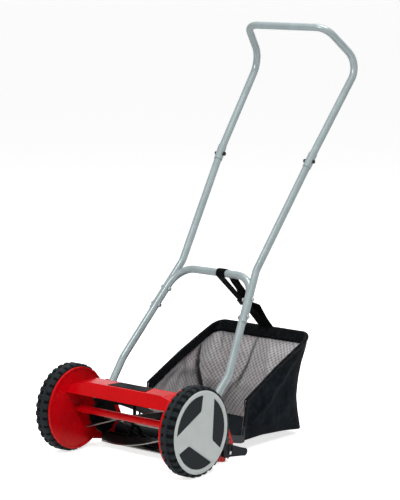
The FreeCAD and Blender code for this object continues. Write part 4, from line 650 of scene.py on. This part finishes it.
# ---- Roller, brackets ----
class MOWER_OT_roller(bpy.types.Operator):
    """Finishes the rear roller, its height brackets and their pins"""

    bl_idname = "mower.roller"
    bl_label = "Roller and height levers"

    def execute(self, context):
        dressed("roller", "black_plastic", "roller", 0.8)
        dressed("roller_ends", "black_plastic", "roller", 0.4)
        paint_nodes("zinc", "roller_axle")
        for hand in ("right", "left"):
            dressed("height_bracket_" + hand, "black_plastic", "height_frame", 1.2, 3)
        dressed("bracket_guide_pins", "blackened", "chassis", 0.5)
        return {"FINISHED"}


# ---- Handle ----
class MOWER_OT_handle(bpy.types.Operator):
    """Finishes the handle tubes and their bolts"""

    bl_idname = "mower.handle"
    bl_label = "Handle"

    def execute(self, context):
        for node in ("lower_handle", "middle_handle_left", "middle_handle_right", "upper_handle"):
            dressed(node, "tube_coat", "chassis", 0.3)
        for node in ("lap_bolts", "foot_bolts"):
            dressed(node, "zinc", "chassis", 0.9, 3)
        dressed("joint_bolts", "blackened", "chassis", 0.9, 3)
        return {"FINISHED"}


# ---- Grass bag ----
# Outline of the bag's side as places (back, up): front edge, rim, rear edge and base
BAG_FRONT = np.array([(217.0, 30.5), (234.5, 121.0)])
BAG_RIM = np.array([(234.5, 121.0), (295.0, 150.0), (353.0, 177.5), (430.0, 208.5), (500.0, 235.0)])
BAG_REAR = np.array([(461.0, 11.0), (451.0, 58.0), (447.5, 94.0), (458.0, 142.0), (470.0, 176.0),
                     (486.0, 206.0), (500.0, 235.0)])
BAG_BASE = np.array([(217.0, 30.5), (296.0, 30.0), (380.0, 23.0), (430.0, 16.5), (461.0, 11.0)])
# Half the bag's width at its mouth and at its rear
MOUTH_HALF, REAR_HALF = 150.0, 145.0
# Radius of the rear corners at the base, and what it grows by up to the rim
CORNER_RADIUS, CORNER_GROWTH = 16.0, 12.0
# Shares of the half perimeter that are side and rounded corner; the rest is rear
SIDE_SHARE, CORNER_SHARE = 0.64, 0.1
# Thickness of the cloth, and how far inside the wall its lining lies
CLOTH, LINING_INSET = 0.7, 1.4

# Folds in the wall: where each starts and ends along s and v, its width, and its height as a share of
# the fold height. Seven are in the rear, the two deepest run down to the left rear corner, and seven
# broad ones lie along the sides.
WALL_FOLDS = (
    (0.38, 0.47, 0.43, 0.06, 0.010, -1.7), (0.35, 0.95, 0.40, 0.35, 0.012, 1.1),
    (0.512, 0.97, 0.531, 0.46, 0.006, -0.5), (0.520, 0.64, 0.600, 0.10, 0.007, -0.5),
    (0.52, 0.95, 0.54, 0.15, 0.014, 1.2), (0.47, 0.95, 0.44, 0.2, 0.009, -0.9),
    (0.60, 0.9, 0.59, 0.2, 0.016, 1.0), (0.714, 0.98, 0.722, 0.46, 0.009, -2.2),
    (0.724, 0.70, 0.655, 0.14, 0.009, -2.2), (0.31, 0.97, 0.06, 0.35, 0.035, 0.8),
    (0.30, 0.42, 0.10, 0.78, 0.045, -0.9), (0.31, 0.4, 0.12, 0.08, 0.04, 0.8),
    (0.28, 0.9, 0.2, 0.08, 0.04, -0.5), (0.69, 0.97, 0.92, 0.4, 0.035, 0.9),
    (0.70, 0.5, 0.88, 0.8, 0.045, -0.9), (0.74, 0.9, 0.82, 0.15, 0.02, 0.7),
)
# Painted shade along pressed creases in the lining: the same places, and how dark each is
CREASE_SHADE_LINES = (
    (0.509, 0.97, 0.530, 0.50, 0.0036, 0.95), (0.521, 0.66, 0.553, 0.30, 0.0036, 1.0),
    (0.540, 0.46, 0.606, 0.08, 0.0030, 0.9), (0.715, 0.96, 0.723, 0.50, 0.0085, 1.2),
    (0.725, 0.68, 0.655, 0.10, 0.0080, 1.2), (0.635, 0.96, 0.612, 0.66, 0.0040, 0.5),
    (0.800, 0.98, 0.740, 0.20, 0.0120, 0.35), (0.410, 0.50, 0.450, 0.08, 0.0040, 0.45),
)
# Section of the rim's binding, up the outside, round the wire and down the inside: depth below or
# above the rim as a share of the binding's width, and step out from the wall
RIM_SECTION = np.array([(-1.0, 1.0), (-0.75, 1.1), (-0.5, 1.2), (-0.3, 1.5), (-0.12, 2.3), (0.02, 2.9),
                        (0.14, 2.4), (0.21, 0.9), (0.23, -0.8), (0.21, -2.5), (0.14, -4.0), (0.02, -4.5),
                        (-0.12, -4.2), (-0.3, -3.7), (-0.5, -3.4), (-0.75, -3.2), (-1.0, -3.1)])


def along_curve(points, share):
    """Point at a share of a polyline's length, with its corners eased by a moving average. The line is
    carried on past both ends as its own mirror image, so that they stay where they are."""
    points = np.asarray(points, dtype=float)
    run = run_of(points)
    fine = np.linspace(0, run[-1], 241)
    reach = 12
    kernel = np.hanning(2 * reach + 1)
    kernel /= kernel.sum()
    eased = []
    for column in points.T:
        line = np.interp(fine, run, column)
        line = np.concatenate([2 * line[0] - line[reach:0:-1], line,
                               2 * line[-1] - line[-2:-reach - 2:-1]])
        eased.append(np.interp(np.clip(share, 0, 1) * run[-1], fine, np.convolve(line, kernel, "valid")))
    return np.stack(eased, axis=-1)


def half_width(back):
    """Half the bag's width at a distance back, from its mouth to its rear."""
    return np.interp(back, [BAG_FRONT[0, 0], BAG_RIM[-1, 0]], [MOUTH_HALF, REAR_HALF])


def folds(s, v, rows):
    """Sum of ridges, each along the line between two (s, v) points: a smooth bell across the line, by
    its width and height, that fades at the line's ends."""
    total = 0.0
    for s0, v0, s1, v1, width, height in rows:
        length = np.hypot(s1 - s0, v1 - v0)
        way = ((s1 - s0) / length, (v1 - v0) / length)
        along = (s - s0) * way[0] + (v - v0) * way[1]
        aside = (v - v0) * way[0] - (s - s0) * way[1]
        fade = np.sin(np.pi * np.clip(along / length, 0, 1)) ** 0.7
        total = total + height * fade * np.exp(-(aside / width) ** 2)
    return total


def side_outline(u, v):
    """Place (back, up) on the bag's side: a patch between its base line and rim line along u and its
    front and rear edges along v, their sum less the plain patch of its four corners."""
    top, base = along_curve(BAG_RIM, u), along_curve(BAG_BASE, u)
    rear = along_curve(BAG_REAR, v)
    u, v = u[..., None], v[..., None]
    front = (1 - v) * BAG_FRONT[0] + v * BAG_FRONT[1]
    corners = (1 - u) * ((1 - v) * BAG_BASE[0] + v * BAG_RIM[0]) \
        + u * ((1 - v) * BAG_BASE[-1] + v * BAG_RIM[-1])
    return (1 - v) * base + v * top + (1 - u) * front + u * rear - corners


def wall_place(s, v):
    """Wall of the bag as one sheet. Along s it runs from the right front edge over the right side, a
    rounded corner, the rear, the other corner and the left side; along v from the base to the rim.
    In a corner the side's last stretch follows the sine of the turn and its width falls by one less
    the cosine, so the two make a quarter circle."""
    s, v = np.broadcast_arrays(np.asarray(s, float), np.asarray(v, float))
    reach = 1 - np.abs(2 * s - 1)
    hand = np.where(s < 0.5, 1.0, -1.0)
    corner = CORNER_RADIUS + CORNER_GROWTH * v
    length = along_curve(BAG_REAR, v)[..., 0] - np.interp(v, [0, 1], BAG_FRONT[:, 0])
    turn = np.pi / 2 * np.clip((reach - SIDE_SHARE) / CORNER_SHARE, 0, 1)
    u = np.clip(reach / SIDE_SHARE, 0, 1) * (1 - corner / length) + corner / length * np.sin(turn)
    place = side_outline(u, v)
    rear_start = SIDE_SHARE + CORNER_SHARE
    cross = np.clip((reach - rear_start) / (1 - rear_start), 0, 1)
    half = half_width(place[..., 0]) - corner * (1 - np.cos(turn))
    return np.stack([hand * half * (1 - cross), place[..., 0], place[..., 1]], axis=-1)


def wall_normal(s, v):
    """Outward direction of the wall, from its slopes along s and v."""
    step = 0.004
    s, v = np.broadcast_arrays(np.asarray(s, float), np.asarray(v, float))
    along = wall_place(np.clip(s + step, 0, 1), v) - wall_place(np.clip(s - step, 0, 1), v)
    up = wall_place(s, np.clip(v + step, 0, 1)) - wall_place(s, np.clip(v - step, 0, 1))
    return unit(np.cross(along, up))


def wall_height(s, v, sag, crease):
    """How far the wall stands off its smooth form, in mm: the belly of the sides and the rear, the
    folds and a shallow ripple, all held to nothing at the front edges, the base and the rim."""
    held = np.clip(np.minimum(s, 1 - s) / 0.05, 0, 1) * np.sin(np.pi * v) ** 0.6
    side = np.sin(np.pi * np.clip((1 - np.abs(2 * s - 1)) / SIDE_SHARE, 0, 1)) ** 0.7
    rear = np.clip(1 - np.abs(s - 0.5) / 0.14, 0, 1)
    ripple = 0.16 * np.sin(61 * s + 5 * v) * np.sin(17 * s + 2.2) * np.sin(np.pi * v)
    return held * (sag * (side + rear) + crease * (folds(s, v, WALL_FOLDS) + ripple))


def bag_wall(inset, sag, crease):
    """Grid of the wall, moved in by inset and out by its belly and folds, and how dark the painted
    shade along its creases is at each point."""
    s, v = np.meshgrid(np.linspace(0, 1, 321), np.linspace(0, 1, 45), indexing="ij")
    height = wall_height(s, v, sag, crease) - inset
    # Painted shade along the creases, for the lining's material.
    crease_shade = np.clip(folds(s, v, CREASE_SHADE_LINES), 0, 1)
    return wall_place(s, v) + wall_normal(s, v) * height[..., None], crease_shade


def base_panel(inset, sag):
    """Floor of the bag: the base line carried across the width, its rear corners rounded as the wall's
    are, sagging in the middle. The inset lifts it and takes it in from the sides."""
    u, v = np.meshgrid(np.linspace(-1, 1, 61), np.linspace(0, 1, 41), indexing="ij")
    back, up = np.moveaxis(along_curve(BAG_BASE, v), -1, 0)
    into = np.clip(back - (BAG_BASE[-1, 0] - CORNER_RADIUS), 0, CORNER_RADIUS)
    half = half_width(back) - CORNER_RADIUS + np.sqrt(CORNER_RADIUS ** 2 - into ** 2)
    dip = 0.5 * sag * np.cos(np.pi * u / 2) * np.sin(np.pi * v)
    return np.stack([u * (half - inset), back, up + inset - dip], axis=-1)


def rim_band(width):
    """Binding folded over the rim wire: its section carried along the rim, with a fine pucker that
    grows down both faces."""
    s, depth = np.meshgrid(np.linspace(0, 1, 241), RIM_SECTION[:, 0] * width, indexing="ij")
    rim = wall_place(s, 1.0)
    tall = 2 * np.linalg.norm(rim - wall_place(s, 0.5), axis=-1)
    pucker = 0.5 * np.sin(210 * s + 1.5 * np.sin(31 * s)) * np.clip(-depth / width, 0, 1)
    place = wall_place(s, 1 + np.minimum(depth, 0) / tall) \
        + unit(rim - wall_place(s, 0.9)) * np.maximum(depth, 0)[..., None]
    return place + wall_normal(s, np.full_like(s, 0.95)) * (RIM_SECTION[:, 1] + pucker)[..., None]


def cloth_piece(name, points, material, crease_shade=None):
    """Sheet of the bag's cloth from a grid of points, given the cloth's thickness. Its weave's
    map holds the lengths along both directions of the grid."""
    along = np.linalg.norm(np.diff(points, axis=0, prepend=points[:1]), axis=-1).cumsum(axis=0)
    across = np.linalg.norm(np.diff(points, axis=1, prepend=points[:, :1]), axis=-1).cumsum(axis=1)
    obj = new_piece(name, points, grid_faces(*points.shape[:2]), material, "bag",
                    np.stack([along, across], axis=-1) / 1000.0)
    # Painted shade along the creases, kept as fold for the lining's material.
    if crease_shade is not None:
        keep_values(obj, "fold", crease_shade)
    wall = obj.modifiers.new("Wall", "SOLIDIFY")
    wall.thickness = CLOTH / 1000.0
    wall.offset = 0.0
    wall.use_even_offset = True
    return obj


# Sections of the two kinds of strip: points round them, how flat their faces and their edges are, the
# share of the width by which they hang from their path, and how far the weave's rows are offset from
# face to face as a share of the thickness
TAPE = (20, 0.7, 0.5, 0.5, 1.0)
WEBBING = (24, 0.8, 0.35, 0.0, 0.0)


def strip(name, path, width, thick, across, section, material, body):
    """Tape or webbing carried along a path. Its section is a circle stretched to the width, which may
    change along the path, and to the thickness: its sine lies along the direction across and its
    cosine square to it, and a power below 1 flattens each."""
    count, face, edge, hang, offset = section
    path = np.asarray(path, float)
    way = unit(np.gradient(path, axis=0))
    across = np.broadcast_to(across, path.shape)
    across = unit(across - way * (way * across).sum(axis=1, keepdims=True))
    t = 2 * np.pi * np.arange(count) / count
    sine, cosine = np.sin(t), np.cos(t)
    width = np.broadcast_to(width, len(path))[:, None]
    wide = np.sign(sine) * np.abs(sine) ** edge * width / 2
    high = np.sign(cosine) * np.abs(cosine) ** face * thick / 2
    rings = path[:, None] + across[:, None] * (wide + hang * width)[..., None] \
        + np.cross(way, across)[:, None] * high[:, None]
    uv = np.stack(np.broadcast_arrays(run_of(path)[:, None], wide + offset * high), axis=-1) / 1000.0
    return swept(name, rings, material, body, uv)


class MOWER_OT_bag(bpy.types.Operator):
    """Sews the grass bag: mesh lining, coated outside, bound rim and edges, frame and hook pins"""

    bl_idname = "mower.bag"
    bl_label = "Grass bag"

    def execute(self, context):
        bag = context.scene.mower_bag
        sag, crease = 1000 * bag.sag, 1000 * bag.fold
        points, crease_shade = bag_wall(0.0, sag, crease)
        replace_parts(cloth_piece("bag_wall", points, "bag_cloth", crease_shade=crease_shade), "grass_bag")
        points, crease_shade = bag_wall(LINING_INSET, sag, crease)
        cloth_piece("bag_wall_lining", points, "bag_mesh", crease_shade=crease_shade)
        cloth_piece("bag_floor", base_panel(0.0, sag), "bag_cloth")
        cloth_piece("bag_floor_lining", base_panel(LINING_INSET, sag), "bag_cloth")
        binding = cloth_piece("bag_rim_binding", rim_band(1000 * bag.binding), "binding_tape")
        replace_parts(binding, "bag_rim_wire")
        for start, side, hand in ((0.0, 1, "right"), (1.0, -1, "left")):
            line = wall_place(start, np.linspace(0, 1, 40)) + (side * 0.6, -1.5, 0)
            self.tape("bag_front_binding_" + hand, line, 13, 3.4, (0, 1, 0))
            base = np.abs(start - np.linspace(0, 0.5 * SIDE_SHARE, 60))
            self.tape("bag_base_seam_" + hand, wall_place(base, 0.0) + (side * 0.8, 0, -1), 5, 2.6, (0, 0, 1))
            turn = abs(start - 0.5 * (SIDE_SHARE + CORNER_SHARE / 2))
            up = np.linspace(0, 0.93, 60)
            out = wall_normal(turn, up)
            line = wall_place(turn, up) + out * (wall_height(turn, up, sag, crease) - 0.6)[:, None]
            self.tape("bag_corner_seam_" + hand, line, 3.4, 2.2, out)
        cross = np.linspace(-1, 1, 40) * (MOUTH_HALF - 1)
        lip = np.stack([cross, np.full(40, BAG_FRONT[0, 0] - 0.5),
                        30 - 1.5 * np.cos(np.pi / 2 * cross / MOUTH_HALF)], axis=-1)
        self.tape("bag_lip_binding", lip, 11, 3.4, (0, 1, 0))
        paint_nodes("blackened", "bag_front_frame", "bag_pins")
        return {"FINISHED"}

    def tape(self, name, line, width, thick, across):
        strip(name, line, width, thick, across, TAPE, "binding_tape", "bag")


# ---- Strap ----
# Middle of the crossbar under the strap, middle of the buckle, and the rim where the tail goes over
STRAP_BAR = np.array([20.0, 310.0, 398.6])
BUCKLE = np.array([12.0, 405.0, 314.0])
STRAP_RIM = np.array([3.0, 500.0, 239.0])
# Directions down along the strap and square out from it
DOWN = unit((BUCKLE - STRAP_BAR) * (0, 1, 1))
OVER = np.array([0.0, -DOWN[2], DOWN[1]])
# Radius of the loop's middle line round the crossbar, and the webbing's thickness
LOOP_RADIUS, STRAP_THICK = 10.4, 1.9


def off_buckle(down, over=0.0, aside=0.0):
    """Place that many mm down the strap from the buckle, out from it and to its side."""
    return BUCKLE + DOWN * down + OVER * over + (aside, 0, 0)


class MOWER_OT_strap(bpy.types.Operator):
    """Threads the webbing strap over the crossbar, through its adjuster and down to the bag"""

    bl_idname = "mower.strap"
    bl_label = "Strap"

    def execute(self, context):
        turn = np.linspace(0, np.pi, 24)[:, None]
        wrap = STRAP_BAR + LOOP_RADIUS * (OVER * np.cos(turn) - DOWN * np.sin(turn))
        share = np.linspace(0, 1, 40)[:, None]
        slack = (OVER * (7.0 + 1.8 * np.sin(9.5 * share)) + (4, 0, 0)) * np.sin(np.pi * share) ** 0.7
        upper = wrap[0] + share * (off_buckle(-6, 3) - wrap[0]) + slack
        lower = wrap[-1] + share * (off_buckle(-6, -3) - wrap[-1])
        loop = np.concatenate([upper[::-1], wrap[1:-1], lower])
        width = np.concatenate([np.linspace(29, 27, 40), np.full(22, 25), np.linspace(24, 21, 40)])
        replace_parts(self.webbing("strap_webbing_loop", loop, width, "chassis"), "strap_loop")
        tail = self.hanging("strap_webbing_tail", np.linspace(31, 38, 90),
                            [off_buckle(-8), off_buckle(30, 1), (BUCKLE + STRAP_RIM) / 2 + OVER * 2,
                             STRAP_RIM + (0, -8, 7), STRAP_RIM + (0, 3.5, -3), STRAP_RIM + (0, 2.5, -22)])
        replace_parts(tail, "strap_tail")
        self.hanging("strap_loose_end", 32,
                     [off_buckle(-4, 3), off_buckle(10, 8, 3), off_buckle(30, 15, 7),
                      off_buckle(46, 11, 8), off_buckle(78, 5.5, 8), off_buckle(112, 4, 7)])
        dressed("strap_buckle", "black_plastic", "chassis", 1.2, 3)
        return {"FINISHED"}

    def webbing(self, name, path, width, body):
        return strip(name, path, width, STRAP_THICK, (1, 0, 0), WEBBING, "webbing", body)

    def hanging(self, name, width, waypoints):
        """Webbing through waypoints, with no body of its own."""
        obj = self.webbing(name, along_curve(waypoints, np.linspace(0, 1, 90)), width, None)
        tuple(at(off_buckle(12)))
        tuple(at(STRAP_RIM))
        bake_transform(obj)
        return obj


# ---- Stage ----
CAMERA_PLACE, CAMERA_AIM, CAMERA_LENS = (2908, -3343, 1207.5), (0, 250, 459.5), 143.8
LAMP_AIM = (0, 200, 300)
# Strength of the white world on the object; the camera and reflections see it at 1
WORLD_LIGHT = 0.22
# Name, place, width in metres, power, whether it shows in reflections and whether it lights matt faces
LAMPS = (
    ("key", (-600, -2600, 2000), 1.0, 32, False, True),
    ("top", (200, 700, 2700), 1.4, 52, True, True),
    ("side", (2100, -1600, 2600), 0.8, 62, False, True),
    ("strip", (-100, -1700, 2300), 0.9, 34, True, False),
)


class MOWER_OT_stage(bpy.types.Operator):
    """Sets the white floor, the soft studio light and the camera"""

    bl_idname = "mower.stage"
    bl_label = "Stage"

    def execute(self, context):
        bpy.ops.mesh.primitive_plane_add(size=60, location=(0, 0, -0.001))
        floor = context.object
        floor.name = "floor"
        floor.data.materials.append(floor_paint())
        world = bpy.data.worlds.new("studio")
        world.use_nodes = True
        tree = world.node_tree
        seen = seen_by(tree, "Is Camera Ray", "Is Glossy Ray")
        strength = add(tree, "MapRange", mapped(seen, (0.0, 1.0), (WORLD_LIGHT, 1.0)))
        background = tree.nodes["Background"]
        background.inputs["Color"].default_value = linear("#ffffff")
        tree.links.new(strength, background.inputs["Strength"])
        context.scene.world = world
        for name, place, width, power, mirrored, matt in LAMPS:
            light = bpy.data.lights.new(name, "AREA")
            light.shape = "DISK"
            light.size = width
            light.energy = power
            lamp = self.aimed(name, light, place, LAMP_AIM)
            lamp.visible_glossy = mirrored
            lamp.visible_diffuse = matt
        camera = bpy.data.cameras.new("camera")
        camera.sensor_width = 36
        camera.lens = CAMERA_LENS
        camera.clip_end = 200
        context.scene.camera = self.aimed("camera", camera, CAMERA_PLACE, CAMERA_AIM)
        context.scene.view_settings.view_transform = "Standard"
        return {"FINISHED"}

    def aimed(self, name, data, place, aim):
        """Object at a place that looks towards its aim."""
        obj = bpy.data.objects.new(name, data)
        bpy.context.scene.collection.objects.link(obj)
        obj.location = Vector(at(place))
        obj.rotation_euler = (Vector(at(aim)) - obj.location).to_track_quat("-Z", "Y").to_euler()
        return obj


# ---- Add-on ----
OPERATORS = (MOWER_OT_stage, MOWER_OT_wheels, MOWER_OT_frame, MOWER_OT_reel, MOWER_OT_roller,
             MOWER_OT_handle, MOWER_OT_bag, MOWER_OT_strap)
GROUPS = {"mower_colours": MowerColours, "mower_tread": MowerTread, "mower_bag": MowerBag}


class MOWER_PT_panel(bpy.types.Panel):
    """Lists the mower's sizes, colours and building steps"""

    bl_idname = "MOWER_PT_panel"
    bl_label = "Reel mower"
    bl_space_type = "VIEW_3D"
    bl_region_type = "UI"
    bl_category = "Mower"

    def draw(self, context):
        for holder, group in GROUPS.items():
            for name in group.__annotations__:
                self.layout.prop(getattr(context.scene, holder), name)
        for item in OPERATORS:
            self.layout.operator(item.bl_idname)


CLASSES = (*GROUPS.values(), *OPERATORS, MOWER_PT_panel)


def register():
    for item in CLASSES:
        bpy.utils.register_class(item)
    for holder, group in GROUPS.items():
        setattr(bpy.types.Scene, holder, bpy.props.PointerProperty(type=group))


def unregister():
    for holder in GROUPS:
        delattr(bpy.types.Scene, holder)
    for item in reversed(CLASSES):
        bpy.utils.unregister_class(item)


def main():
    register()
    for item in OPERATORS:
        group, name = item.bl_idname.split(".")
        getattr(getattr(bpy.ops, group), name)()


if __name__ == "__main__":
    main()
